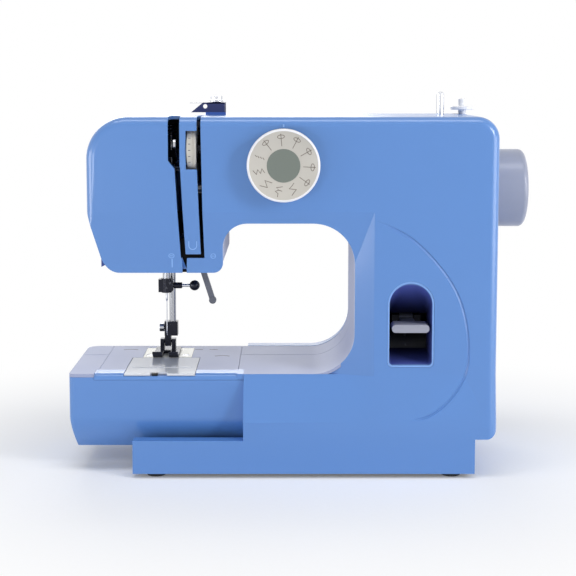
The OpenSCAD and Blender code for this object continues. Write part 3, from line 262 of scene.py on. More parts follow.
@dataclass(frozen=True)
class MouldedPlastic:
    """Injection-moulded plastic with a fine spark-eroded grain and faint handling marks."""

    name: str
    colour: Colour
    roughness: float = 0.38
    grain: float = 1600.0
    grain_depth: float = 0.00002
    coat: float = 0.0
    specular: float = 0.5

    def make(self) -> bpy.types.Material:
        """Builds the material.

        Returns:
            The material, ready to assign.
        """
        g = Graph(self.name)
        cloudy = g.noise(9.0, 3.0)
        speck = g.noise(420.0, 2.0)
        grain = g.noise(self.grain, 3.0)
        tone = g.blend(cloudy, toned(self.colour, 0.965), toned(self.colour, 1.03))
        colour = g.blend(speck * 0.10, tone, toned(self.colour, 0.86))
        rub = g.noise(26.0, 5.0, (1.0, 1.0, 0.35))
        rough = rub * 0.12 + (self.roughness - 0.06)
        normal = g.bump(grain, self.grain_depth, 0.55)
        shader = g.node("ShaderNodeBsdfPrincipled", None, {
            "Base Color": colour, "Roughness": rough, "Normal": normal, "Coat Weight": self.coat,
            "Coat Roughness": 0.12, "Specular IOR Level": self.specular,
        })[0]
        return g.close(shader)


@dataclass(frozen=True)
class ShellPlastic:
    """Satin blue of the outer covers: a clean mould face with faint darker flecks."""

    name: str
    colour: Colour
    deep: Colour
    roughness: float = 0.30

    def make(self) -> bpy.types.Material:
        """Builds the material.

        Returns:
            The material, ready to assign.
        """
        g = Graph(self.name)
        broad = g.noise(5.0, 2.0)
        fleck = g.noise(900.0, 2.0)
        tone = g.blend(broad, self.colour, toned(self.colour, 0.97))
        colour = g.blend(fleck * 0.07, tone, self.deep)
        haze = g.noise(40.0, 4.0, (1.0, 1.0, 0.5))
        rough = haze * 0.08 + (self.roughness - 0.04)
        grain = g.noise(2600.0, 2.0)
        wave = g.noise(18.0, 1.0)
        normal = g.bump(grain * 0.5 + wave, 0.00006, 0.35)
        shader = g.node("ShaderNodeBsdfPrincipled", None, {
            "Base Color": colour, "Roughness": rough, "Normal": normal,
            "Coat Weight": 0.4, "Coat Roughness": 0.12, "Specular IOR Level": 0.5,
        })[0]
        return g.close(shader)


@dataclass(frozen=True)
class WornMetal:
    """Plated or ground metal with fine lines along one axis and small bright rubs."""

    name: str
    colour: Colour
    roughness: float = 0.28
    along: Point3 = (1.0, 1.0, 0.05)
    line_scale: float = 900.0
    line_depth: float = 0.00001

    def make(self) -> bpy.types.Material:
        """Builds the material.

        Returns:
            The material, ready to assign.
        """
        g = Graph(self.name)
        lines = g.noise(self.line_scale, 3.0, self.along)
        stain = g.noise(60.0, 4.0)
        colour = g.blend(stain, toned(self.colour, 0.86), toned(self.colour, 1.06))
        rough = lines * 0.14 + stain * 0.10 + (self.roughness - 0.12)
        normal = g.bump(lines, self.line_depth, 0.5)
        shader = g.node("ShaderNodeBsdfPrincipled", None, {
            "Base Color": colour, "Metallic": 1.0, "Roughness": rough, "Normal": normal,
        })[0]
        return g.close(shader)


@dataclass(frozen=True)
class CastMetal:
    """Die-cast alloy with a sandy skin."""

    name: str
    colour: Colour
    roughness: float = 0.5

    def make(self) -> bpy.types.Material:
        """Builds the material.

        Returns:
            The material, ready to assign.
        """
        g = Graph(self.name)
        sand = g.noise(1300.0, 3.0)
        flow = g.noise(22.0, 4.0)
        colour = g.blend(flow, toned(self.colour, 0.84), toned(self.colour, 1.08))
        shader = g.node("ShaderNodeBsdfPrincipled", None, {
            "Base Color": colour, "Metallic": 0.9, "Roughness": flow * 0.15 + (self.roughness - 0.07),
            "Normal": g.bump(sand, 0.00005, 0.6),
        })[0]
        return g.close(shader)


@dataclass(frozen=True)
class DarkPaint:
    """Dark enamel over steel, rubbed towards grey on its high spots."""

    name: str
    colour: Colour
    roughness: float = 0.3

    def make(self) -> bpy.types.Material:
        """Builds the material.

        Returns:
            The material, ready to assign.
        """
        g = Graph(self.name)
        worn = g.noise(150.0, 5.0) > 0.66
        colour = g.blend(worn * 0.35, self.colour, shade(126, 128, 136))
        shader = g.node("ShaderNodeBsdfPrincipled", None, {
            "Base Color": colour, "Metallic": 0.55,
            "Roughness": g.noise(80.0, 3.0) * 0.2 + (self.roughness - 0.08),
            "Normal": g.bump(g.noise(700.0, 2.0), 0.00003, 0.4),
        })[0]
        return g.close(shader)


@dataclass(frozen=True)
class SoftRubber:
    """Matt rubber with dust in its pores."""

    name: str
    colour: Colour

    def make(self) -> bpy.types.Material:
        """Builds the material.

        Returns:
            The material, ready to assign.
        """
        g = Graph(self.name)
        pores = g.noise(1500.0, 3.0)
        dust = g.noise(200.0, 4.0)
        colour = g.blend(dust * 0.3, self.colour, shade(74, 74, 76))
        shader = g.node("ShaderNodeBsdfPrincipled", None, {
            "Base Color": colour, "Roughness": dust * 0.1 + 0.68, "Normal": g.bump(pores, 0.00006, 0.7),
        })[0]
        return g.close(shader)


@dataclass(frozen=True)
class ClearPlastic:
    """Smoky see-through plastic with fine scratches."""

    name: str
    colour: Colour
    alpha: float = 0.5

    def make(self) -> bpy.types.Material:
        """Builds the material.

        Returns:
            The material, ready to assign.
        """
        g = Graph(self.name)
        scratch = g.noise(700.0, 4.0, (0.06, 1.0, 1.0))
        haze = g.noise(30.0, 3.0)
        colour = g.blend(haze, self.colour, toned(self.colour, 0.9))
        shader = g.node("ShaderNodeBsdfPrincipled", None, {
            "Base Color": colour, "Roughness": scratch * 0.12 + 0.06,
            "Alpha": haze * 0.12 + (self.alpha - 0.06),
            "Normal": g.bump(scratch, 0.00001, 0.4), "Coat Weight": 0.4, "Coat Roughness": 0.05,
        })[0]
        return g.close(shader)


@dataclass(frozen=True)
class RecessPlastic:
    """Blue lining of the lever's recess, with painted shade that darkens it towards its floor and a painted
    highlight on the lip at its mouth.
    """

    name: str
    lit: Colour
    dark: Colour
    inner: Colour = (0.066, 0.092, 0.36)
    mouth_y: float = FRONT_Y
    depth: float = 30.0

    def make(self) -> bpy.types.Material:
        """Builds the material.

        Returns:
            The material, ready to assign.
        """
        g = Graph(self.name)
        inward = (g.axis(1) - self.mouth_y * MM) * (1.0 / (self.depth * MM))
        # Painted highlight on the mouth's lip, then painted shade deepening towards the recess floor.
        stops = [(0.0, self.lit), (0.05, toned(self.lit, 0.8)), (0.12, self.inner), (1.0, self.dark)]
        ramp = g.node("ShaderNodeValToRGB", {"stops": stops}, {0: inward})[0]
        shader = g.node("ShaderNodeBsdfPrincipled", None, {
            "Base Color": ramp, "Roughness": g.noise(60.0, 3.0) * 0.1 + 0.33,
            "Normal": g.bump(g.noise(1500.0, 2.0), 0.00003, 0.4),
        })[0]
        return g.close(shader)


BLUE = shade(88, 135, 200)
FINISHES: dict[str, Any] = {
    "blue_shell": ShellPlastic("blue_shell", BLUE, shade(70, 112, 190)),
    "bed_grey": MouldedPlastic("bed_grey", shade(154, 162, 192), 0.5, coat=0.0),
    "plate_steel": WornMetal("plate_steel", shade(172, 172, 168), 0.55, (0.05, 1.0, 1.0)),
    "base_black": MouldedPlastic("base_black", shade(34, 34, 38), 0.6, 900.0, 0.00008),
    "foot_rubber": SoftRubber("foot_rubber", shade(26, 26, 28)),
    "screw_steel": WornMetal("screw_steel", shade(190, 192, 198), 0.26),
    "lid_plastic": ClearPlastic("lid_plastic", shade(238, 241, 246), 0.8),
    # Near-black sheet behind the cross slot: painted shade, not a part of the machine.
    "slot_painted_shade": MouldedPlastic("slot_painted_shade", shade(6, 6, 9), 0.8, specular=0.2),
    "latch_black": MouldedPlastic("latch_black", shade(14, 14, 16), 0.4),
    "feed_steel": WornMetal("feed_steel", shade(176, 178, 184), 0.3, (1.0, 0.1, 1.0)),
    "hook_steel": WornMetal("hook_steel", shade(190, 192, 198), 0.2),
    "case_black": MouldedPlastic("case_black", shade(24, 24, 28), 0.45),
    "bobbin_clear": ClearPlastic("bobbin_clear", shade(222, 226, 232), 0.6),
    "gear_brass": WornMetal("gear_brass", shade(196, 160, 88), 0.3),
    "shaft_steel": WornMetal("shaft_steel", shade(176, 178, 184), 0.2),
    "pulley_black": MouldedPlastic("pulley_black", shade(36, 36, 40), 0.5),
    "belt_rubber": SoftRubber("belt_rubber", shade(22, 22, 24)),
    # Near-black frame, darker than bare cast alloy: painted shade for the machine's inside where it shows
    # through the slots and the recess.
    "frame_alloy": CastMetal("frame_alloy", shade(34, 35, 40)),
    "bush_bronze": WornMetal("bush_bronze", shade(184, 142, 84), 0.4),
    "wheel_silver": MouldedPlastic("wheel_silver", shade(148, 154, 174), 0.34, coat=0.15),
    "link_steel": WornMetal("link_steel", shade(200, 202, 208), 0.18),
    "motor_grey": DarkPaint("motor_grey", shade(70, 72, 78), 0.5),
    "clamp_dark": DarkPaint("clamp_dark", shade(26, 28, 40), 0.24),
    "needle_chrome": WornMetal("needle_chrome", shade(222, 224, 230), 0.12),
    # Dark presser foot: painted reflection, the dark colour stands for the dark surroundings mirrored in its
    # chrome.
    "foot_steel": DarkPaint("foot_steel", shade(44, 46, 58), 0.2),
    "lifter_alloy": CastMetal("lifter_alloy", shade(112, 115, 126), 0.4),
    # Thread cutter: the cover's blue darkened with painted shade, as it sits under the head.
    "cutter_blue": MouldedPlastic("cutter_blue", shade(44, 72, 140), 0.35),
    "cream_plastic": MouldedPlastic("cream_plastic", shade(194, 190, 182), 0.36, coat=0.1),
    "lever_grey": MouldedPlastic("lever_grey", shade(150, 152, 166), 0.36, coat=0.1),
    "cam_white": MouldedPlastic("cam_white", shade(224, 222, 214), 0.5),
    # Recess lining: painted highlight at the lip and painted shade towards the floor.
    "well_navy": RecessPlastic("well_navy", shade(130, 172, 232), shade(12, 13, 40)),
    "guide_dark": DarkPaint("guide_dark", shade(52, 60, 104), 0.36),
    "winder_white": MouldedPlastic("winder_white", shade(236, 238, 244), 0.3, coat=0.2),
    "socket_black": MouldedPlastic("socket_black", shade(18, 18, 20), 0.45),
    # White of the dial's edge ring: a painted highlight.
    "rim_painted_highlight": MouldedPlastic("rim_painted_highlight", shade(236, 236, 240), 0.3, coat=0.2),
    "ink_grey": MouldedPlastic("ink_grey", shade(128, 120, 112), 0.55),
    "disc_grey": MouldedPlastic("disc_grey", shade(112, 120, 113), 0.5),
    "pale_mark": MouldedPlastic("pale_mark", shade(134, 176, 232), 0.4),
    "dark_mark": MouldedPlastic("dark_mark", shade(84, 84, 100), 0.55),
    "guide_blue": MouldedPlastic("guide_blue", shade(62, 98, 176), 0.35),
}


class Wardrobe:
    """Makes each finish once and hands it out by name."""

    def __init__(self) -> None:
        """Starts with nothing made."""
        self.made: dict[str, bpy.types.Material] = {}

    def get(self, name: str) -> bpy.types.Material:
        """Gives the material of a finish.

        Args:
            name: The finish's name.

        Returns:
            Its material, made on the first call.
        """
        if name not in self.made:
            self.made[name] = FINISHES[name].make()
        return self.made[name]


# ---------------------------------------------------------------- making meshes


def from_bmesh(name: str, bm: bmesh.types.BMesh, smooth: float | None = 35.0) -> bpy.types.Object:
    """Turns a bmesh in millimetres into an object in metres.

    Args:
        name: The object's name.
        bm: The shape, freed here.
        smooth: Edges sharper than this many degrees stay sharp; None leaves all faces flat.

    Returns:
        The new object, linked to the scene.
    """
    bmesh.ops.transform(bm, matrix=Matrix.Scale(MM, 4), verts=bm.verts)
    mesh = bpy.data.meshes.new(name)
    bm.to_mesh(mesh)
    bm.free()
    return link_mesh(name, mesh, smooth)


def link_mesh(name: str, mesh: bpy.types.Mesh, smooth: float | None = 35.0) -> bpy.types.Object:
    """Links a mesh as a new object and sets its shading.

    Args:
        name: The object's name.
        mesh: The mesh, in metres.
        smooth: Edges sharper than this many degrees stay sharp; None leaves all faces flat.

    Returns:
        The new object.
    """
    if smooth is not None:
        mesh.shade_smooth()
        mesh.set_sharp_from_angle(angle=math.radians(smooth))
    thing = bpy.data.objects.new(name, mesh)
    bpy.context.scene.collection.objects.link(thing)
    return thing


def bake_modifiers(thing: bpy.types.Object) -> None:
    """Puts the result of an object's modifiers into its mesh and removes them.

    Args:
        thing: The object.
    """
    graph = bpy.context.evaluated_depsgraph_get()
    mesh = bpy.data.meshes.new_from_object(thing.evaluated_get(graph), depsgraph=graph)
    thing.modifiers.clear()
    old = thing.data
    thing.data = mesh
    bpy.data.meshes.remove(old)


def lathe(name: str, profile: Sequence[Point2], place: Placer, steps: int = 96,
          closed: bool = False) -> bpy.types.Object:
    """Turns a profile of (radius, height) about an axis.

    Args:
        name: The object's name.
        profile: Points from one end to the other; a radius of 0 closes the end.
        place: Gives the point for (across, up, height).
        steps: Points round the axis.
        closed: Joins the last point to the first.

    Returns:
        The new object.
    """
    bm = bmesh.new()
    rings: list[list[bmesh.types.BMVert]] = []
    for radius, height in profile:
        round_it = oval(0.0, 0.0, radius, radius, steps) if radius > 0 else [(0.0, 0.0)]
        rings.append([bm.verts.new(place(across, up, height)) for across, up in round_it])
    pairs = list(zip(rings, rings[1:])) + ([(rings[-1], rings[0])] if closed else [])
    for low, high in pairs:
        for k in range(steps):
            n = (k + 1) % steps
            corners = [low[k % len(low)], low[n % len(low)], high[n % len(high)], high[k % len(high)]]
            unique = list(dict.fromkeys(corners))
            if len(unique) > 2:
                bm.faces.new(unique)
    bmesh.ops.recalc_face_normals(bm, faces=bm.faces)
    return from_bmesh(name, bm)


def ribbon(bm: bmesh.types.BMesh, points: Sequence[Point2], width: float, place: Placer,
           height: float = 0.07, loop: bool = False) -> None:
    """Adds a flat raised line along a 2-D path.

    Args:
        bm: The mesh that the line is added to, in millimetres.
        points: The path.
        width: Width of the line.
        place: Gives the point for (across, up, height above the surface).
        height: How far the line stands up.
        loop: Joins the path's end to its start.
    """
    sunk = -0.1
    least_lean = 0.55
    shortest_run = 1e-6
    count = len(points)
    sides: list[tuple[Point2, Point2]] = []
    for k in range(count):
        before = points[(k - 1) % count] if loop or k > 0 else points[0]
        after = points[(k + 1) % count] if loop or k < count - 1 else points[-1]
        run = Vector((after[0] - before[0], after[1] - before[1]))
        if run.length < shortest_run:
            run = Vector((1.0, 0.0))
        run.normalize()
        here = Vector(points[k])
        if k == 0 and not loop:
            here -= run * width / 2
        if k == count - 1 and not loop:
            here += run * width / 2
        side = Vector((-run.y, run.x)) * width / 2
        if 0 < k < count - 1 or loop:
            inward = (Vector(points[k]) - Vector(before)).normalized()
            side /= max(least_lean, abs(inward.dot(run)))
        sides.append(((here.x + side.x, here.y + side.y), (here.x - side.x, here.y - side.y)))
    top = [[bm.verts.new(place(p[0], p[1], height)) for p in pair] for pair in sides]
    low = [[bm.verts.new(place(p[0], p[1], sunk)) for p in pair] for pair in sides]
    last = count if loop else count - 1
    for k in range(last):
        n = (k + 1) % count
        bm.faces.new((top[k][0], top[n][0], top[n][1], top[k][1]))
        bm.faces.new((low[k][1], low[n][1], low[n][0], low[k][0]))
        bm.faces.new((low[k][0], low[n][0], top[n][0], top[k][0]))
        bm.faces.new((top[k][1], top[n][1], low[n][1], low[k][1]))
    if not loop:
        bm.faces.new((top[0][0], top[0][1], low[0][1], low[0][0]))
        bm.faces.new((top[-1][1], top[-1][0], low[-1][0], low[-1][1]))
    bmesh.ops.recalc_face_normals(bm, faces=bm.faces)


def plate(bm: bmesh.types.BMesh, outline: Sequence[Point2], y0: float, y1: float,
          holes: Sequence[Sequence[Point2]] = ()) -> None:
    """Adds an upright plate with holes.

    Args:
        bm: The mesh that the plate is added to, in millimetres.
        outline: The plate's outline as (x, z).
        y0: Its front face.
        y1: Its rear face.
        holes: Outlines of its holes.
    """
    edges: list[bmesh.types.BMEdge] = []
    for loop in (outline, *holes):
        ring = [bm.verts.new((x, y0, z)) for x, z in loop]
        edges += [bm.edges.new((a, b)) for a, b in zip(ring, ring[1:] + ring[:1])]
    made = bmesh.ops.triangle_fill(bm, use_beauty=True, use_dissolve=False, edges=edges)
    faces = [g for g in made["geom"] if isinstance(g, bmesh.types.BMFace)]
    grown = bmesh.ops.extrude_face_region(bm, geom=faces, use_keep_orig=True)
    moved = [g for g in grown["geom"] if isinstance(g, bmesh.types.BMVert)]
    bmesh.ops.translate(bm, verts=moved, vec=(0.0, y1 - y0, 0.0))
    bmesh.ops.recalc_face_normals(bm, faces=bm.faces)


def block(bm: bmesh.types.BMesh, low: Point3, high: Point3) -> None:
    """Adds a box between two corners, in millimetres."""
    (x0, y0, z0), (x1, y1, z1) = low, high
    plate(bm, [(x0, z0), (x1, z0), (x1, z1), (x0, z1)], y0, y1)


def oval(x: float, y: float, rx: float, ry: float, steps: int = 20) -> list[Point2]:
    """Points of an oval."""
    turns = [math.tau * k / steps for k in range(steps)]
    return [(x + rx * math.cos(a), y + ry * math.sin(a)) for a in turns]


def arc(x: float, y: float, r: float, start: float, end: float, steps: int = 10) -> list[Point2]:
    """Points of an arc between two angles in degrees."""
    turns = [math.radians(start + (end - start) * k / steps) for k in range(steps + 1)]
    return [(x + r * math.cos(a), y + r * math.sin(a)) for a in turns]


def front_y(x: float, z: float) -> float:
    """The front surface's y at a place on the head, arm, column or skirt.

    Args:
        x: Place across the machine, in millimetres.
        z: Height over the table, in millimetres.

    Returns:
        The y of the surface there, in millimetres.
    """
    if z < BED_Z:
        return BASE_Y + (FRONT_Y - BASE_Y) * max(0.0, z - SKIRT_Z) / (BED_Z - SKIRT_Z)
    brow = BROW_LEAN * (BROW_Z - z)
    side = FACET_LEAN * (CREASE_X - x)
    return FRONT_Y + max(0.0, min(brow, side))


def on_front(x: float, z: float, h: float) -> Point3:
    """A point that stands h off the front surface."""
    return x, front_y(x, z) - h, z


def on_bed(x: float, y: float, h: float) -> Point3:
    """A point that stands h above the bed."""
    return x, y, BED_Z + h


class Dresser:
    """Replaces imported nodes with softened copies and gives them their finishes."""

    def __init__(self, frame: dict[str, Any], wardrobe: Wardrobe) -> None:
        """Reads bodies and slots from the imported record.

        Args:
            frame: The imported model, as it is loaded.
            wardrobe: Gives the finishes.
        """
        self.nodes = frame["nodes"]
        self.wardrobe = wardrobe
        self.slot_of = {s["node"]: s["material_slot"] for s in frame["record"]["subparts"]}
        bodies = frame["record"]["behaviour"]["bodies"]
        self.body_of = {node: body for body, members in bodies.items() for node in members}

    def paint(self, *names: str, finish: str | None = None) -> None:
        """Gives nodes that stay as they are their finish.

        Args:
            names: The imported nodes.
            finish: Name of the finish, where it isn't the slot's own.
        """
        for name in names:
            data = self.nodes[name].data
            data.materials.clear()
            data.materials.append(self.wardrobe.get(finish or self.slot_of[name]))

    def copy(self, node: str, merge: float = 2e-6) -> bpy.types.Object:
        """Makes a clean copy of a node, with doubles merged and flat faces joined.

        Args:
            node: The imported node.
            merge: Points nearer than this many metres become one.

        Returns:
            The copy.
        """
        flat = math.radians(0.6)
        bm = bmesh.new()
        bm.from_mesh(self.nodes[node].data)
        bmesh.ops.remove_doubles(bm, verts=bm.verts, dist=merge)
        bmesh.ops.dissolve_limit(bm, angle_limit=flat, verts=bm.verts, edges=bm.edges)
        mesh = bpy.data.meshes.new(f"{node}_skin")
        bm.to_mesh(mesh)
        bm.free()
        mesh.materials.clear()
        return link_mesh(f"{node}_skin", mesh)

    def soften(self, node: str, width: float = 0.35, angle: float = 30.0, segments: int = 2,
               change: Callable[[bpy.types.Object], None] | None = None,
               finish: str | None = None) -> bpy.types.Object:
        """Replaces a node with a copy whose edges are rounded.

        Args:
            node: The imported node.
            width: Width of the rounding in millimetres.
            angle: Edges flatter than this many degrees are left.
            segments: Faces across the rounding.
            change: Works on the copy before its edges are rounded.
            finish: Name of the finish, where it isn't the slot's own.

        Returns:
            The finished piece.
        """
        piece = self.copy(node)
        if change:
            change(piece)
        bevel = piece.modifiers.new("edges", "BEVEL")
        bevel.width = width * MM
        bevel.segments = segments
        bevel.limit_method = "ANGLE"
        bevel.angle_limit = math.radians(angle)
        bevel.use_clamp_overlap = True
        weighted = piece.modifiers.new("normals", "WEIGHTED_NORMAL")
        weighted.keep_sharp = True
        bake_modifiers(piece)
        slot = self.slot_of[node]
        return self.place(piece, self.body_of[node], slot, finish or slot, node)

    def place(self, piece: bpy.types.Object, body: str, slot: str, finish: str,
              *nodes: str) -> bpy.types.Object:
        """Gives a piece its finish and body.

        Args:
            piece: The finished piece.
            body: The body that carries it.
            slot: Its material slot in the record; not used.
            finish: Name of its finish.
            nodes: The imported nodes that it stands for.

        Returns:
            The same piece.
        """
        piece.data.materials.clear()
        piece.data.materials.append(self.wardrobe.get(finish))
        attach(piece, body)
        if nodes:
            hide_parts(*nodes)
        log.info("%s rides on %s", piece.name, body)
        return piece


# ---------------------------------------------------------------- geometry nodes


class TreeMaker:
    """Builds a Geometry Nodes tree with named inputs."""

    def __init__(self, name: str) -> None:
        """Makes an empty tree with its output.

        Args:
            name: The tree's name.
        """
        self.tree = bpy.data.node_groups.new(name, "GeometryNodeTree")
        self.tree.interface.new_socket("Geometry", in_out="OUTPUT", socket_type="NodeSocketGeometry")
        self.inner = self.tree.nodes.new("NodeGroupInput")
        self.outer = self.tree.nodes.new("NodeGroupOutput")
        self.values: dict[str, Any] = {}

    def input(self, name: str, kind: str, value: Any) -> bpy.types.NodeSocket:
        """Adds a named input with the value that this piece uses.

        Args:
            name: The input's name.
            kind: Type of its socket.
            value: The value; the base mesh itself is the value of a geometry input.

        Returns:
            The input's socket inside the tree.
        """
        socket = self.tree.interface.new_socket(name, in_out="INPUT", socket_type=kind)
        if kind != "NodeSocketGeometry":
            self.values[socket.identifier] = value
        return next(s for s in self.inner.outputs if s.identifier == socket.identifier)

    def add(self, kind: str, settings: dict[str, Any] | None = None,
            inputs: dict[Any, Any] | None = None) -> bpy.types.Node:
        """Adds a node.

        Args:
            kind: The node's type.
            settings: Attributes that are set before the sockets.
            inputs: Values or other sockets by socket name or number.

        Returns:
            The node.
        """
        made = self.tree.nodes.new(kind)
        for key, value in (settings or {}).items():
            setattr(made, key, value)
        for key, value in (inputs or {}).items():
            if isinstance(value, bpy.types.NodeSocket):
                self.tree.links.new(value, made.inputs[key])
            else:
                made.inputs[key].default_value = value
        return made

    def finish(self, geometry: bpy.types.NodeSocket, material: bpy.types.Material) -> None:
        """Ends the tree in Realize Instances and Set Material.

        Args:
            geometry: What the tree has made.
            material: Its material.
        """
        real = self.add("GeometryNodeRealizeInstances", None, {0: geometry})
        coat = self.add("GeometryNodeSetMaterial", None, {0: real.outputs[0]})
        coat.inputs["Material"].default_value = material
        self.tree.links.new(coat.outputs[0], self.outer.inputs[0])

    def run(self, name: str, base: bpy.types.Mesh | None = None) -> bpy.types.Object:
        """Applies the tree to a base mesh.

        Args:
            name: The object's name.
            base: The mesh that the tree starts from; an empty one if left out.

        Returns:
            A plain object with the result in its mesh.
        """
        mesh = base or bpy.data.meshes.new(name)
        thing = bpy.data.objects.new(name, mesh)
        bpy.context.scene.collection.objects.link(thing)
        modifier = thing.modifiers.new("grow", "NODES")
        modifier.node_group = self.tree
        for identifier, value in self.values.items():
            modifier[identifier] = value
        bake_modifiers(thing)
        return thing


@dataclass
class RibRing:
    """Small ribs set round an axis."""

    count: int
    radius: float
    rib: Point3
    centre: Point3
    turn: Point3 = (0.0, 0.0, 0.0)

    def build(self, name: str, material: bpy.types.Material) -> bpy.types.Object:
        """Grows the ribs on a circle and turns it to its axis.

        Args:
            name: The object's name.
            material: The ribs' material.

        Returns:
            The ribs as one object.
        """
        maker = TreeMaker(f"{name}_tree")
        count = maker.input("Count", "NodeSocketInt", self.count)
        radius = maker.input("Radius", "NodeSocketFloat", self.radius * MM)
        size = maker.input("Rib size", "NodeSocketVector", Vector(self.rib) * MM)
        circle = maker.add("GeometryNodeMeshCircle", None, {"Vertices": count, "Radius": radius})
        rib = maker.add("GeometryNodeMeshCube", None, {"Size": size})
        place = maker.add("GeometryNodeInputPosition")
        align = maker.add("FunctionNodeAlignRotationToVector", {"axis": "X"}, {"Vector": place.outputs[0]})
        spread = maker.add("GeometryNodeInstanceOnPoints", None, {
            "Points": circle.outputs[0], "Instance": rib.outputs[0], "Rotation": align.outputs[0],
        })
        moved = maker.add("GeometryNodeTransform", None, {"Geometry": spread.outputs[0]})
        moved.inputs["Translation"].default_value = Vector(self.centre) * MM
        moved.inputs["Rotation"].default_value = [math.radians(a) for a in self.turn]
        maker.finish(moved.outputs[0], material)
        return maker.run(name)


@dataclass
class HeadScrews:
    """Round screw heads with a cross recess, one at each given place."""

    places: Sequence[Point3]
    radius: float
    height: float
    slot_width: float
    turn: Point3
    slot_reach: float = 1.3
    sides: int = 32

    def build(self, name: str, material: bpy.types.Material) -> bpy.types.Object:
        """Grows a head at each place.

        Args:
            name: The object's name.
            material: The heads' material.

        Returns:
            The heads as one object.
        """
        long = self.radius * self.slot_reach
        maker = TreeMaker(f"{name}_tree")
        points = maker.input("Places", "NodeSocketGeometry", None)
        radius = maker.input("Radius", "NodeSocketFloat", self.radius * MM)
        depth = maker.input("Height", "NodeSocketFloat", self.height * MM)
        bar_size = Vector((long, self.slot_width, self.height)) * MM
        cross_size = Vector((self.slot_width, long, self.height)) * MM
        bar = maker.input("Slot", "NodeSocketVector", bar_size)
        across = maker.input("Cross slot", "NodeSocketVector", cross_size)
        head = maker.add("GeometryNodeMeshCylinder", None, {
            "Vertices": self.sides, "Radius": radius, "Depth": depth,
        })
        cuts = maker.add("GeometryNodeJoinGeometry")
        for size in (bar, across):
            box = maker.add("GeometryNodeMeshCube", None, {"Size": size})
            lift = maker.add("GeometryNodeTransform", None, {"Geometry": box.outputs[0]})
            lift.inputs["Translation"].default_value = (0.0, 0.0, self.height * 0.5 * MM)
            maker.tree.links.new(lift.outputs[0], cuts.inputs[0])
        cut = maker.add("GeometryNodeMeshBoolean", {"operation": "DIFFERENCE"}, {
            0: head.outputs[0], 1: cuts.outputs[0],
        })
        spread = maker.add("GeometryNodeInstanceOnPoints", None, {
            "Points": points, "Instance": cut.outputs[0],
        })
        spread.inputs["Rotation"].default_value = [math.radians(a) for a in self.turn]
        maker.finish(spread.outputs[0], material)
        base = bpy.data.meshes.new(f"{name}_places")
        base.from_pydata([tuple(c * MM for c in p) for p in self.places], [], [])
        return maker.run(name, base)


# ---------------------------------------------------------------- sub-assemblies


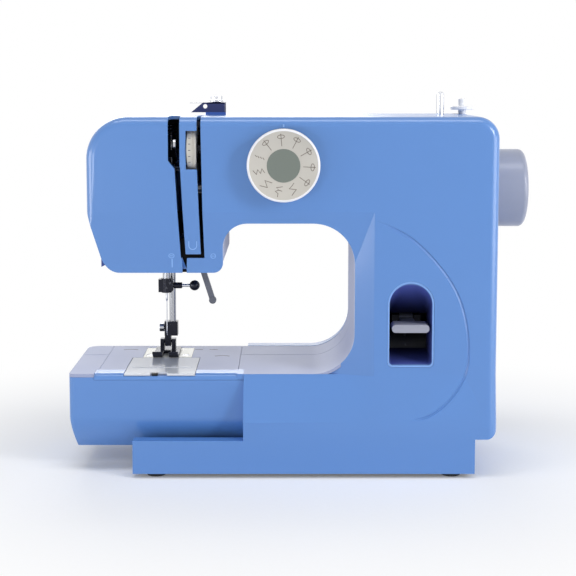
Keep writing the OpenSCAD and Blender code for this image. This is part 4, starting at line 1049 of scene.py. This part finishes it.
@dataclass
class Shell:
    """The blue covers of the body."""

    groove: Sequence[Point2] = (
        (50.8, 186.4), (75.8, 173.5), (95.2, 154.9), (108.1, 136.3), (115.2, 117.0),
        (118.1, 94.7), (116.0, 74.7), (105.2, 57.5), (90.9, 46.1), (75.9, 42.1),
    )
    groove_radius: float = 1.25
    groove_depth: float = 0.8
    groove_fade: float = 0.08
    groove_least: float = 0.02
    groove_steps: int = 8
    groove_sides: int = 8
    corners: Sequence[Point2] = ((-143.0, 154.7), (-136.0, 147.7))
    corner_width: float = 4.4
    corner_reach: float = 0.2
    corner_length: float = 2.0
    # The thread slots: where they lean, where they are, and how far each end is moved
    slot_x: Point2 = (-92.0, -71.0)
    slot_z: Point2 = (149.0, 223.0)
    slot_left: float = -91.0
    slot_pitch: float = 18.6
    slot_run: float = 62.0
    left_lean: float = 3.6
    right_lean: float = 2.0
    sign_width: float = 0.45
    screw_radius: float = 3.1
    screw_height: float = 1.5
    screw_slot: float = 0.9
    screw_zone: float = 2.6
    screw_span: float = 8.0
    screw_seat: float = 0.8

    def groove_path(self) -> list[Vector]:
        """Runs a smooth curve through the groove's points.

        Returns:
            Places along the curve as (x, z).
        """
        points = [Vector(p) for p in self.groove]
        path: list[Vector] = []
        for k in range(len(points) - 1):
            p0 = points[max(0, k - 1)]
            p1, p2 = points[k], points[k + 1]
            p3 = points[min(len(points) - 1, k + 2)]
            for s in range(self.groove_steps):
                t = s / self.groove_steps
                path.append(0.5 * ((2 * p1) + (p2 - p0) * t + (2 * p0 - 5 * p1 + 4 * p2 - p3) * t * t
                                   + (3 * p1 - p0 - 3 * p2 + p3) * t ** 3))
        path.append(points[-1])
        return path

    def groove_tool(self) -> bpy.types.Object:
        """Makes a tapering rod along the curved line beside the lever, which cuts the groove.

        Returns:
            The rod.
        """
        path = self.groove_path()
        bm = bmesh.new()
        rings = []
        for k, here in enumerate(path):
            ahead = (path[min(k + 1, len(path) - 1)] - path[max(k - 1, 0)]).normalized()
            across = Vector((-ahead.y, ahead.x))
            share = k / (len(path) - 1)
            fade = min(1.0, share / self.groove_fade, (1.0 - share) / self.groove_fade)
            out = self.groove_radius - self.groove_depth * max(self.groove_least, fade)
            centre_y = front_y(here.x, here.y) - out
            ring = []
            for j in range(self.groove_sides):
                a = math.tau * j / self.groove_sides
                step = across * self.groove_radius * math.cos(a)
                y = centre_y + self.groove_radius * math.sin(a)
                ring.append(bm.verts.new((here.x + step.x, y, here.y + step.y)))
            rings.append(ring)
        for low, high in zip(rings, rings[1:]):
            for j in range(self.groove_sides):
                n = (j + 1) % self.groove_sides
                bm.faces.new((low[j], low[n], high[n], high[j]))
        bm.faces.new(rings[0])
        bm.faces.new(rings[-1])
        bmesh.ops.recalc_face_normals(bm, faces=bm.faces)
        return from_bmesh("groove_tool", bm)

    def lean_slots(self, piece: bpy.types.Object) -> None:
        """Leans the thread slots to the right on their way down.

        Args:
            piece: Copy of the front cover.
        """
        (x0, x1), (z0, z1) = self.slot_x, self.slot_z
        for vert in piece.data.vertices:
            x, z = vert.co.x / MM, vert.co.z / MM
            if x0 < x < x1 and z0 < z < z1:
                share = (x - self.slot_left) / self.slot_pitch
                lean = self.left_lean + (self.right_lean - self.left_lean) * share
                vert.co.x += (z1 - z) / self.slot_run * lean * MM

    def corner_of(self, vert: bmesh.types.BMVert) -> int:
        """Finds the corner of the head that a point lies on.

        Args:
            vert: The point.

        Returns:
            The corner's number, or -1 where it lies on none.
        """
        for k, (x, z) in enumerate(self.corners):
            if abs(vert.co.x / MM - x) < self.corner_reach and abs(vert.co.z / MM - z) < self.corner_reach:
                return k
        return -1

    def round_corners(self, piece: bpy.types.Object) -> None:
        """Rounds the head's lower left corners.

        Args:
            piece: Copy of a cover.
        """
        bm = bmesh.new()
        bm.from_mesh(piece.data)
        chosen = []
        for edge in bm.edges:
            one, two = edge.verts
            if self.corner_of(one) < 0 or self.corner_of(one) != self.corner_of(two):
                continue
            if abs(one.co.y - two.co.y) > self.corner_length * MM:
                chosen.append(edge)
        log.info("%s: %d corner edges", piece.name, len(chosen))
        if chosen:
            bmesh.ops.bevel(bm, geom=chosen, offset=self.corner_width * MM, segments=5, profile=0.5,
                            affect="EDGES", clamp_overlap=True)
        bm.to_mesh(piece.data)
        bm.free()

    def slot_trim(self, dresser: Dresser) -> None:
        """Fills the wide slot's lower corner and puts a near-black sheet behind the cross slot as painted
        shade.

        Args:
            dresser: Puts the pieces in their places.
        """
        bm = bmesh.new()
        plate(bm, [(-95.9, 222.4), (-90.9, 222.4), (-95.9, 228.6)], -56.95, -54.6)
        dresser.place(from_bmesh("slot_corner", bm), "chassis", "blue_shell", "blue_shell")
        # Painted shade: a near-black sheet behind the cross slot, where the inside of the head is dark.
        bm = bmesh.new()
        block(bm, (-97.0, -49.6, 147.9), (-66.0, -48.8, 172.0))
        dresser.place(from_bmesh("slot_shade", bm), "chassis", "base_black", "slot_painted_shade")

    def carve(self, piece: bpy.types.Object) -> None:
        """Leans the slots, rounds the corners and cuts the groove.

        Args:
            piece: Copy of the front cover.
        """
        self.lean_slots(piece)
        self.round_corners(piece)
        tool = self.groove_tool()
        cut = piece.modifiers.new("groove", "BOOLEAN")
        cut.operation = "DIFFERENCE"
        cut.solver = "EXACT"
        cut.object = tool
        bake_modifiers(piece)
        bpy.data.objects.remove(tool)

    def marks(self, dresser: Dresser) -> None:
        """Adds the small threading signs on the head: two eyes, a stroke and a hook.

        Args:
            dresser: Puts the pieces in their places.
        """
        bm = bmesh.new()
        width = self.sign_width
        x = -93.9
        ribbon(bm, oval(x, 160.2, 1.9, 1.5), width, on_front, loop=True)
        ribbon(bm, [(x - 0.9, 160.2), (x + 0.9, 160.2)], width, on_front)
        ribbon(bm, [(x + 0.4, 157.6), (x + 0.4, 152.2)], 0.8, on_front)
        ribbon(bm, oval(-64.2, 160.0, 1.7, 1.7), width, on_front, loop=True)
        ribbon(bm, [(-65.2, 160.0), (-63.2, 160.0)], width, on_front)
        ribbon(bm, [(-81.4, 170.5)] + arc(-78.6, 167.6, 2.8, 180, 360) + [(-75.8, 170.5)], 0.6, on_front)
        signs = from_bmesh("threading_signs", bm)
        dresser.place(signs, "chassis", "blue_shell", "pale_mark")

    def screw_places(self, dresser: Dresser) -> list[Point3]:
        """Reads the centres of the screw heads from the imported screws.

        Args:
            dresser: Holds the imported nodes.

        Returns:
            One place for each screw, in millimetres.
        """
        data = dresser.nodes["cover_screws"].data
        rear = max(v.co.y for v in data.vertices) / MM
        groups: list[list[Vector]] = []
        for vert in data.vertices:
            at = vert.co / MM
            if at.y < rear - self.screw_zone:
                continue
            for group in groups:
                if (group[0].xz - at.xz).length < self.screw_span:
                    group.append(at)
                    break
            else:
                groups.append([at.copy()])
        seen: list[Point3] = []
        for group in groups:
            x = (min(v.x for v in group) + max(v.x for v in group)) / 2
            z = (min(v.z for v in group) + max(v.z for v in group)) / 2
            seen.append((x, rear - self.screw_seat, z))
        return seen

    def build(self, dresser: Dresser) -> None:
        """Makes both covers, their signs and their screws.

        Args:
            dresser: Puts the pieces in their places.
        """
        dresser.soften("front_cover", 0.5, 24.0, 2, self.carve)
        dresser.soften("rear_cover", 0.5, 24.0, 2, self.round_corners)
        self.slot_trim(dresser)
        self.marks(dresser)
        facing_back = (90.0, 0.0, 0.0)
        screws = HeadScrews(self.screw_places(dresser), self.screw_radius, self.screw_height, self.screw_slot,
                            facing_back)
        heads = screws.build("cover_screw_heads", dresser.wardrobe.get("screw_steel"))
        dresser.place(heads, "chassis", "screw_steel", "screw_steel", "cover_screws")


@dataclass
class FreeArm:
    """The slim arm under the needle, its bed plates and the arch's lining."""

    crease_z: float = 42.0
    foot_z: float = 20.8
    front_side: float = -40.0
    undercut_depth: float = 14.0
    undercut_bend: float = 1.6
    undercut_steps: int = 5
    drop: float = 0.19
    mark_width: float = 1.6
    mark_height: float = 0.05

    def undercut(self, piece: bpy.types.Object) -> None:
        """Leans the arm's front back below its crease and lets its underside hang a little.

        Args:
            piece: Copy of the arm's cover.
        """
        bm = bmesh.new()
        bm.from_mesh(piece.data)
        reach = self.crease_z - self.foot_z
        for k in range(self.undercut_steps):
            height = self.crease_z - k / self.undercut_steps * reach
            bmesh.ops.bisect_plane(bm, geom=[*bm.verts, *bm.edges, *bm.faces], dist=1e-6,
                                   plane_no=(0.0, 0.0, 1.0), plane_co=(0.0, 0.0, height * MM))
        for vert in bm.verts:
            low = self.crease_z - vert.co.z / MM
            if low > 0.0:
                if vert.co.y / MM < self.front_side:
                    vert.co.y += (low / reach) ** self.undercut_bend * self.undercut_depth * MM
                vert.co.z -= low * self.drop * MM
        bm.to_mesh(piece.data)
        bm.free()

    def bed_marks(self, dresser: Dresser) -> None:
        """Adds two finger notches and two pairs of short strokes on the bed.

        Args:
            dresser: Puts the pieces in their places.
        """
        bm = bmesh.new()
        width, height = self.mark_width, self.mark_height
        for x, y in ((-134.5, 31.0), (-61.5, 9.0)):
            ribbon(bm, arc(x, y - 7.5, 8.5, 55, 125), width, on_bed, height)
        for x in (-81.0, -69.5):
            ribbon(bm, [(x - 2.4, 31.0), (x - 0.5, 31.0)], width, on_bed, height)
            ribbon(bm, [(x + 0.5, 31.0), (x + 2.4, 31.0)], width, on_bed, height)
        signs = from_bmesh("bed_signs", bm)
        dresser.place(signs, "chassis", "bed_grey", "dark_mark")

    def build(self, dresser: Dresser) -> None:
        """Softens the arm's pieces, and adds the rail's end and the bed's small marks.

        Args:
            dresser: Puts the pieces in their places.
        """
        dresser.soften("arm_cover", 0.9, 20.0, 3, self.undercut)
        dresser.soften("front_rail", 0.6)
        for name in ("bed_plate", "bed_end", "arch_liner_front", "arch_liner_rear"):
            dresser.soften(name, 0.3, 24.0)
        bm = bmesh.new()
        block(bm, (-47.6, -49.9, 69.3), (-43.1, -35.4, 73.6))
        dresser.place(from_bmesh("rail_end", bm), "chassis", "blue_shell", "blue_shell")
        self.bed_marks(dresser)


class StitchMark(Enum):
    """Kinds of mark round the stitch dial."""

    EYE = "eye"
    DASH = "dash"
    ZIGZAG = "zigzag"
    STEPPED = "stepped"
    HEM = "hem"
    WIDE = "wide"


@dataclass
class StitchSelector:
    """The round dial on the front."""

    radius: float = 25.7
    face_y: float = -66.6
    back_y: float = -57.6
    disc_r: float = 11.7
    first: float = -5.0
    pitch: float = 32.7
    line: float = 0.5
    line_height: float = 0.05
    order: Sequence[StitchMark] = (
        StitchMark.EYE, StitchMark.EYE, StitchMark.EYE, StitchMark.EYE, StitchMark.EYE, StitchMark.STEPPED,
        StitchMark.HEM, StitchMark.WIDE, StitchMark.ZIGZAG, StitchMark.DASH, StitchMark.EYE,
    )

    def paths(self, mark: StitchMark) -> list[tuple[list[Point2], bool]]:
        """Draws one mark.

        Args:
            mark: The kind of mark.

        Returns:
            Its lines, across and outwards from the dial's centre, with whether each closes.
        """
        if mark is StitchMark.EYE:
            return [(oval(0.0, 20.3, 2.5, 1.2), True), ([(0.0, 22.2), (0.0, 13.9)], False)]
        if mark is StitchMark.DASH:
            starts = [(-0.4 + 0.2 * (k % 2), 14.2 + 1.9 * k) for k in range(4)]
            return [([start, (0.4, 15.3 + 1.9 * k)], False) for k, start in enumerate(starts)]
        if mark is StitchMark.ZIGZAG:
            turns = [(-1.5, 14.0), (1.5, 15.2), (-1.5, 16.8), (1.5, 18.2), (-1.5, 19.8), (1.5, 21.4)]
            return [(turns, False)]
        if mark is StitchMark.WIDE:
            return [([(-2.4, 14.2), (2.2, 16.4), (-2.4, 18.8), (2.2, 21.4)], False)]
        if mark is StitchMark.STEPPED:
            outward = [(-2.2, 14.0), (0.0, 15.4), (2.2, 16.4), (0.0, 17.6)]
            return [([*outward, (-2.2, 18.8), (0.0, 20.0), (2.0, 21.4)], False)]
        return [([(-2.0, 14.6), (2.0, 16.0), (0.0, 17.4), (2.2, 18.6), (0.0, 19.8), (0.0, 22.0)], False),
                ([(-2.2, 17.6), (0.0, 17.4)], False)]

    def marks(self, dresser: Dresser) -> None:
        """Sets the marks round the dial and the index on the cover.

        Args:
            dresser: Puts the pieces in their places.
        """
        bm = bmesh.new()
        for k, mark in enumerate(self.order):
            turn = math.radians(self.first + self.pitch * k)

            def spot(across: float, outward: float, h: float, turn: float = turn) -> Point3:
                """Turns a mark's point to its place round the dial.

                Args:
                    across: Place across the mark.
                    outward: Place outwards from the dial's centre.
                    h: Height above the face.
                    turn: The mark's angle.

                Returns:
                    The point.
                """
                dx = across * math.cos(turn) + outward * math.sin(turn)
                dz = -across * math.sin(turn) + outward * math.cos(turn)
                return DIAL[0] + dx, self.face_y + 0.25 - h, DIAL[1] + dz

            for points, loop in self.paths(mark):
                ribbon(bm, points, self.line, spot, self.line_height, loop)
        marks = from_bmesh("dial_marks", bm)
        dresser.place(marks, "stitch_selector", "cream_plastic", "ink_grey")
        bm = bmesh.new()
        index_z = DIAL[1] + self.radius
        ribbon(bm, [(DIAL[0], index_z + 1.4), (DIAL[0], index_z + 2.2)], 1.2, on_front, 0.25)
        index = from_bmesh("dial_index", bm)
        dresser.place(index, "chassis", "blue_shell", "pale_mark")

    def build(self, dresser: Dresser) -> None:
        """Makes the dial, its painted-highlight ring, disc and marks.

        Args:
            dresser: Puts the pieces in their places.
        """

        def out(across: float, up: float, y: float) -> Point3:
            """Turns lathe values to a point on the dial."""
            return DIAL[0] + across, y, DIAL[1] + up

        r, face, back = self.radius, self.face_y, self.back_y
        body = lathe("dial_body", [
            (0.0, face + 0.25), (r - 1.9, face + 0.25), (r - 1.6, face + 0.05), (r - 1.3, face - 0.15),
            (r - 0.8, face - 0.3), (r - 0.3, face + 0.1), (r, face + 0.9), (r, back - 0.6),
            (r - 0.5, back), (0.0, back),
        ], out, 128)
        dresser.place(body, "stitch_selector", "cream_plastic", "cream_plastic", "stitch_dial")
        # Painted highlight: a white ring on the dial's rounded edge stands for the light that the edge
        # catches.
        rim = lathe("dial_highlight_ring", [
            (r - 1.6, face + 0.1), (r - 1.5, face - 0.25), (r - 0.9, face - 0.4), (r - 0.25, face + 0.05),
            (r + 0.02, face + 0.8), (r - 0.2, face + 1.0), (r - 1.4, face + 0.6),
        ], out, 128, closed=True)
        dresser.place(rim, "stitch_selector", "cream_plastic", "rim_painted_highlight")
        disc = lathe("dial_disc", [
            (0.0, face + 0.05), (self.disc_r - 0.2, face + 0.05), (self.disc_r, face + 0.2),
            (self.disc_r, face + 0.4), (0.0, face + 0.4),
        ], out, 96)
        dresser.place(disc, "stitch_selector", "cream_plastic", "disc_grey")
        self.marks(dresser)
        dresser.paint("stitch_cam")


@dataclass
class ThreadTension:
    """The tension wheel in its window, with its ribs and its scale."""

    centre: Point3 = (-79.1, -41.5, 235.6)
    radius: float = 17.0
    width: float = 6.8
    rib_count: int = 72
    line_count: int = 24

    def build(self, dresser: Dresser) -> None:
        """Makes the wheel with a ribbed half and a scale half.

        Args:
            dresser: Puts the pieces in their places.
        """
        x, y, z = self.centre
        x0 = x - self.width / 2
        x1 = x + self.width / 2
        r = self.radius
        sideways = (0.0, 90.0, 0.0)

        def out(across: float, up: float, along: float) -> Point3:
            """Turns lathe values to a point on the wheel."""
            return along, y + across, z + up

        wheel = lathe("tension_wheel", [
            (0.0, x0), (r - 1.2, x0), (r - 0.3, x0 + 0.4), (r - 0.1, x0 + 1.0), (r - 0.1, x0 + 4.1),
            (r - 0.5, x0 + 4.3), (r - 0.5, x1 - 0.7), (r - 1.2, x1), (0.0, x1),
        ], out, 96)
        dresser.place(wheel, "tension_wheel", "cream_plastic", "cream_plastic", "tension_dial")
        ring = RibRing(self.rib_count, r - 0.45, (0.7, 0.55, 2.0), (x1 - 1.6, y, z), sideways)
        ribs = ring.build("tension_ribs", dresser.wardrobe.get("cream_plastic"))
        dresser.place(ribs, "tension_wheel", "cream_plastic", "cream_plastic")
        scale = RibRing(self.line_count, r - 0.1, (0.12, 0.5, 1.6), (x0 + 2.2, y, z), sideways)
        lines = scale.build("tension_scale", dresser.wardrobe.get("dark_mark"))
        dresser.place(lines, "tension_wheel", "cream_plastic", "dark_mark")
        # Painted shade: the tension discs take the dark clamp finish in place of bright steel, so the slot
        # they sit in reads dark.
        dresser.paint("tension_discs", finish="clamp_dark")


@dataclass
class ReverseUnit:
    """The reverse lever in its recess."""

    def build(self, dresser: Dresser) -> None:
        """Softens the lever and its lining."""
        dresser.soften("lever_well", 0.3, 30.0)
        dresser.soften("reverse_lever", 0.9, 24.0, 3, finish="lever_grey")


@dataclass
class Handwheel:
    """The wheel on the right end of the main shaft."""

    x0: float = 139.4
    x1: float = 168.3
    radius: float = 29.5
    corner: float = 4.2
    hub_depth: float = 24.0

    def build(self, dresser: Dresser) -> None:
        """Turns the wheel and its domed cap.

        Args:
            dresser: Puts the pieces in their places.
        """

        def out(across: float, up: float, x: float) -> Point3:
            """Turns lathe values to a point on the wheel."""
            return x, WHEEL_AXIS[0] + across, WHEEL_AXIS[1] + up

        r, x0, x1 = self.radius, self.x0, self.x1
        edge = arc(r - self.corner, x1 - self.corner, self.corner, 0, 90, 9)
        wheel = lathe("handwheel_rim", [
            (5.0, x0 + self.hub_depth), (9.0, x0 + self.hub_depth), (9.0, x0), (r - 3.2, x0 + 0.02),
            (r - 0.5, x0 + 0.02), (r, x0 + 0.6), *edge, (14.6, x1 + 0.35), (14.3, x1 - 0.2),
            (14.2, x1 - 1.6), (5.0, x1 - 1.6),
        ], out, 128, closed=True)
        dresser.place(wheel, "main_drive", "wheel_silver", "wheel_silver", "handwheel")
        cap = lathe("handwheel_dome", [
            (0.0, x1 + 1.2), (5.0, x1 + 1.05), (10.0, x1 + 0.7), (13.2, x1 + 0.35), (13.9, x1 - 0.1),
            (13.9, x1 - 1.5), (0.0, x1 - 1.5),
        ], out, 96)
        dresser.place(cap, "main_drive", "wheel_silver", "wheel_silver", "handwheel_cap")


@dataclass
class NeedleWorks:
    """Needle bar, clamp, needle and presser."""

    screw_axis: Point2 = (14.8, 127.5)
    ball_x: float = -82.85
    ball_r: float = 4.05
    bar_lift: float = 6.0
    rounding: Sequence[tuple[str, float]] = (
        ("needle_clamp", 0.3), ("presser_shank", 0.3), ("shank_screw", 0.3), ("presser_foot", 0.25),
        ("thread_cutter", 0.3), ("foot_lifter", 0.5), ("take_up_lever", 0.2),
    )

    def spring(self, dresser: Dresser) -> None:
        """Puts a clean copy of the presser's spring in its place, with a mesh of its own.

        Args:
            dresser: Puts the pieces in their places.
        """
        piece = dresser.copy("presser_spring")
        slot = dresser.slot_of["presser_spring"]
        dresser.place(piece, dresser.body_of["presser_spring"], slot, slot, "presser_spring")
        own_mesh(piece)

    def knob(self, dresser: Dresser) -> None:
        """Turns the clamp's screw: a bright stem, and a dark collar and ball.

        Args:
            dresser: Puts the pieces in their places.
        """

        def out(across: float, up: float, x: float) -> Point3:
            """Turns lathe values to a point on the screw."""
            return x, self.screw_axis[0] + across, self.screw_axis[1] + up

        body = dresser.body_of["clamp_screw"]
        slot = dresser.slot_of["clamp_screw"]
        stem = lathe("clamp_stem", [
            (0.0, -101.0), (1.5, -101.0), (1.5, -99.9), (1.25, -99.8), (1.25, -86.3), (0.0, -86.3),
        ], out, 32)
        dresser.place(stem, body, slot, "needle_chrome")
        ball = []
        for degrees in range(20, 180, 10):
            a = math.radians(degrees)
            ball.append((self.ball_r * math.sin(a), self.ball_x - self.ball_r * math.cos(a)))
        head = lathe("clamp_ball", [(0.0, ball[0][1]), *ball, (0.0, self.ball_x + self.ball_r)], out, 48)
        dresser.place(head, body, slot, "clamp_dark", "clamp_screw")
        collar = lathe("clamp_collar", [
            (0.0, -99.0), (2.0, -99.0), (2.4, -98.6), (2.4, -92.8), (2.0, -92.4), (0.0, -92.4),
        ], out, 40)
        dresser.place(collar, body, slot, "clamp_dark")

    def build(self, dresser: Dresser) -> None:
        """Dresses what shows under the head and the linkage behind it.

        Args:
            dresser: Puts the pieces in their places.
        """
        for name, width in self.rounding:
            dresser.soften(name, width)
        self.knob(dresser)
        dresser.paint("needle_bar", "needle", "presser_bar", "connecting_rod", "needle_crank")
        self.spring(dresser)


@dataclass
class BobbinBay:
    """Needle plate, feed, bobbin cover and what lies below them."""

    def build(self, dresser: Dresser) -> None:
        """Softens the plate, the cover and its latch, and paints what lies below.

        Args:
            dresser: Puts the pieces in their places.
        """
        dresser.soften("needle_plate", 0.2)
        dresser.soften("bobbin_cover", 0.25)
        dresser.soften("cover_latch", 0.2)
        dresser.paint("plate_screws", "feed_dog", "feed_bar", "bobbin_case", "bobbin", "hook", "hook_gear")


@dataclass
class TopFittings:
    """Thread guide, spool pin and winder on top, and the socket on the side."""

    guide_x: Point2 = (-71.6, -58.2)
    guide_y: Point2 = (2.8, 18.0)
    guide_top: float = 268.2
    plate_t: float = 0.9
    eye_r: float = 1.6

    def guide(self, dresser: Dresser) -> None:
        """Bends the thread guide from plate: a slanted front with an eye, a top, and a foot on the cover.

        Args:
            dresser: Puts the pieces in their places.
        """
        (x0, x1), (y0, y1), top = self.guide_x, self.guide_y, self.guide_top
        under = top - self.plate_t
        bm = bmesh.new()
        eye = oval(x0 - 1.3, 265.3, self.eye_r, self.eye_r, 24)
        front = [(x0 - 11.9, 260.8), (x1, 260.8), (x1, top - 0.1), (x0 - 3.0, top - 0.1)]
        plate(bm, front, y0 - 1.2, y0 - 0.2, [eye])
        block(bm, (x0, y0 - 1.2, under), (x1, y1, top))
        block(bm, (x0, y1 - 1.0, TOP_Z), (x1, y1, under))
        block(bm, (x0 + 0.4, y0 + 1.0, TOP_Z), (x1 - 0.4, y1 - 1.0, under))
        dresser.place(from_bmesh("guide_plate", bm), "chassis", "guide_dark", "guide_dark", "thread_guide")
        bm = bmesh.new()
        block(bm, (x0 - 12.8, y0 - 1.2, top - 0.7), (x0 - 2.6, y0 + 3.0, top - 0.1))
        dresser.place(from_bmesh("guide_lip", bm), "chassis", "guide_dark", "needle_chrome")
        bm = bmesh.new()
        block(bm, (x0 - 1.0, y0 - 1.4, TOP_Z), (x1 + 0.6, y0 + 1.0, 260.9))
        dresser.place(from_bmesh("guide_foot", bm), "chassis", "guide_dark", "guide_blue")

    def build(self, dresser: Dresser) -> None:
        """Makes the guide and softens the other fittings.

        Args:
            dresser: Puts the pieces in their places.
        """
        self.guide(dresser)
        dresser.soften("guide_nut", 0.3)
        dresser.soften("spool_pin", 0.3)
        dresser.soften("winder", 0.4)
        dresser.soften("power_socket", 0.3)


@dataclass
class Underside:
    """Base plate and feet."""

    forward: float = 5.0

    def bring_forward(self, piece: bpy.types.Object) -> None:
        """Carries the front feet forward to the base's edge.

        Args:
            piece: Copy of the feet.
        """
        for vert in piece.data.vertices:
            if vert.co.y < 0.0:
                vert.co.y -= self.forward * MM

    def build(self, dresser: Dresser) -> None:
        """Softens the base and its feet."""
        dresser.soften("base_plate", 0.4)
        dresser.soften("rubber_feet", 0.5, change=self.bring_forward)


@dataclass
class Drive:
    """What turns inside the covers."""

    names: Sequence[str] = (
        "main_frame", "main_shaft", "shaft_bushes", "belt_pulley", "timing_pulley", "timing_belt",
        "drive_belt", "motor", "motor_pulley", "lower_shaft", "lower_pulley", "lower_gear",
    )

    def build(self, dresser: Dresser) -> None:
        """Gives the hidden pieces their finishes."""
        # The frame's near-black finish is painted shade for the dark inside of the machine.
        dresser.paint(*self.names)


# ---------------------------------------------------------------- studio


@dataclass(frozen=True)
class Lamp:
    """A soft rectangular lamp that faces the machine."""

    name: str
    place: Point3
    size: Point2
    power: float

    def hang(self, aim: Point3) -> None:
        """Hangs the lamp and turns it to the machine.

        Args:
            aim: The point that it faces, in millimetres.
        """
        data = bpy.data.lights.new(self.name, "AREA")
        data.shape = "RECTANGLE"
        data.size, data.size_y = self.size[0] * MM, self.size[1] * MM
        data.energy = self.power
        lamp = bpy.data.objects.new(self.name, data)
        lamp.location = Vector(self.place) * MM
        facing = (Vector(aim) - Vector(self.place)).normalized()
        lamp.rotation_euler = facing.to_track_quat("-Z", "Y").to_euler()
        bpy.context.scene.collection.objects.link(lamp)


@dataclass
class Studio:
    """Camera, lamps, floor and background."""

    eye: Point3 = (-10.9, -912.4, 283.2)
    tilt: float = 5.6
    lens: float = 76.07
    shift_y: float = -0.15
    lamps: Sequence[Lamp] = (
        Lamp("key", (1100.0, -760.0, 640.0), (320.0, 400.0), 7.6),
        Lamp("strip", (-520.0, -800.0, 120.0), (240.0, 230.0), 1.1),
        Lamp("top", (-40.0, -300.0, 1250.0), (1200.0, 300.0), 5.4),
        Lamp("left", (-1050.0, -420.0, 190.0), (600.0, 320.0), 3.4),
        Lamp("back", (-250.0, 1100.0, 650.0), (800.0, 500.0), 5.0),
        Lamp("right", (950.0, -420.0, 160.0), (700.0, 300.0), 2.5),
    )
    aim: Point3 = (0.0, 0.0, 130.0)
    world_power: float = 0.27
    floor_size: float = 6000.0
    floor_z: float = -0.02
    # The floor's own tone fades into white between these distances, in metres
    floor_glow: float = 0.12
    floor_fade: Point2 = (0.10, 0.42)
    shadow_shape: Point3 = (0.85, 1.2, 1.0)

    def camera(self) -> None:
        """Places the camera."""
        data = bpy.data.cameras.new("camera")
        data.lens = self.lens
        data.shift_y = self.shift_y
        data.clip_start = 0.01
        cam = bpy.data.objects.new("camera", data)
        cam.location = Vector(self.eye) * MM
        cam.rotation_euler = (math.radians(90.0 - self.tilt), 0.0, 0.0)
        bpy.context.scene.collection.objects.link(cam)
        bpy.context.scene.camera = cam

    def world(self) -> None:
        """Makes a world that is white to look at and lights the machine softly."""
        world = bpy.data.worlds.new("studio")
        bpy.context.scene.world = world
        world.use_nodes = True
        tree = world.node_tree
        tree.nodes.clear()
        out = tree.nodes.new("ShaderNodeOutputWorld")
        path = tree.nodes.new("ShaderNodeLightPath")
        soft = tree.nodes.new("ShaderNodeBackground")
        soft.inputs[0].default_value = (0.95, 0.97, 1.0, 1.0)
        soft.inputs[1].default_value = self.world_power
        pale = tree.nodes.new("ShaderNodeBackground")
        pale.inputs[0].default_value = (1.0, 1.0, 1.0, 1.0)
        pale.inputs[1].default_value = 1.0
        shown = path.outputs["Is Camera Ray"]
        for ray in ("Is Glossy Ray", "Is Transmission Ray"):
            either = tree.nodes.new("ShaderNodeMath")
            either.operation = "MAXIMUM"
            tree.links.new(shown, either.inputs[0])
            tree.links.new(path.outputs[ray], either.inputs[1])
            shown = either.outputs[0]
        mix = tree.nodes.new("ShaderNodeMixShader")
        tree.links.new(shown, mix.inputs[0])
        tree.links.new(soft.outputs[0], mix.inputs[1])
        tree.links.new(pale.outputs[0], mix.inputs[2])
        tree.links.new(mix.outputs[0], out.inputs[0])
        bpy.context.scene.view_settings.view_transform = "Standard"

    def floor(self) -> None:
        """Lays a pale floor that turns white away from the machine."""
        bm = bmesh.new()
        size = self.floor_size
        corners = ((-1, -1), (1, -1), (1, 1), (-1, 1))
        bm.faces.new([bm.verts.new((x * size, y * size, self.floor_z)) for x, y in corners])
        ground = from_bmesh("floor", bm, None)
        g = Graph("floor_pale")
        grit = g.noise(400.0, 2.0)
        tint = g.blend(grit, (0.93, 0.94, 0.97), (0.97, 0.98, 1.0))
        diffuse = g.node("ShaderNodeBsdfDiffuse", None, {0: tint})[0]
        white = g.node("ShaderNodeEmission", None, {0: (1.0, 1.0, 1.0, 1.0), 1: 1.0})[0]
        path = g.tree.nodes.new("ShaderNodeLightPath")
        seen: Any = Wire(g, path.outputs["Is Camera Ray"])
        for ray in ("Is Glossy Ray", "Is Transmission Ray"):
            other = Wire(g, path.outputs[ray])
            seen = g.node("ShaderNodeMath", {"operation": "MAXIMUM"}, {0: seen, 1: other})[0]
        place = g.node("ShaderNodeTexCoord")[3]
        flat = g.node("ShaderNodeVectorMath", {"operation": "MULTIPLY"}, {0: place, 1: self.shadow_shape})[0]
        reach = g.node("ShaderNodeVectorMath", {"operation": "LENGTH"}, {0: flat})[1]
        near, away = self.floor_fade
        far = g.node("ShaderNodeMapRange", {"interpolation_type": "SMOOTHSTEP"},
                     {0: reach, 1: near, 2: away, 3: self.floor_glow, 4: 1.0})[0]
        total = g.node("ShaderNodeMixShader", None, {0: far * seen, 1: diffuse, 2: white})[0]
        ground.data.materials.append(g.close(total))

    def build(self) -> None:
        """Sets up the whole studio."""
        self.camera()
        for lamp in self.lamps:
            lamp.hang(self.aim)
        self.world()
        self.floor()


def main() -> None:
    """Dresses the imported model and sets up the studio."""
    logging.basicConfig(level=logging.INFO, format="%(name)s: %(message)s")
    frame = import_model()
    Studio().build()
    dresser = Dresser(frame, Wardrobe())
    builders: list[Any] = [
        Shell(), FreeArm(), StitchSelector(), ThreadTension(), ReverseUnit(), Handwheel(), NeedleWorks(),
        BobbinBay(), TopFittings(), Underside(), Drive(),
    ]
    for builder in builders:
        builder.build(dresser)
        log.info("%s is done", type(builder).__name__)


if __name__ == "__main__":
    main()
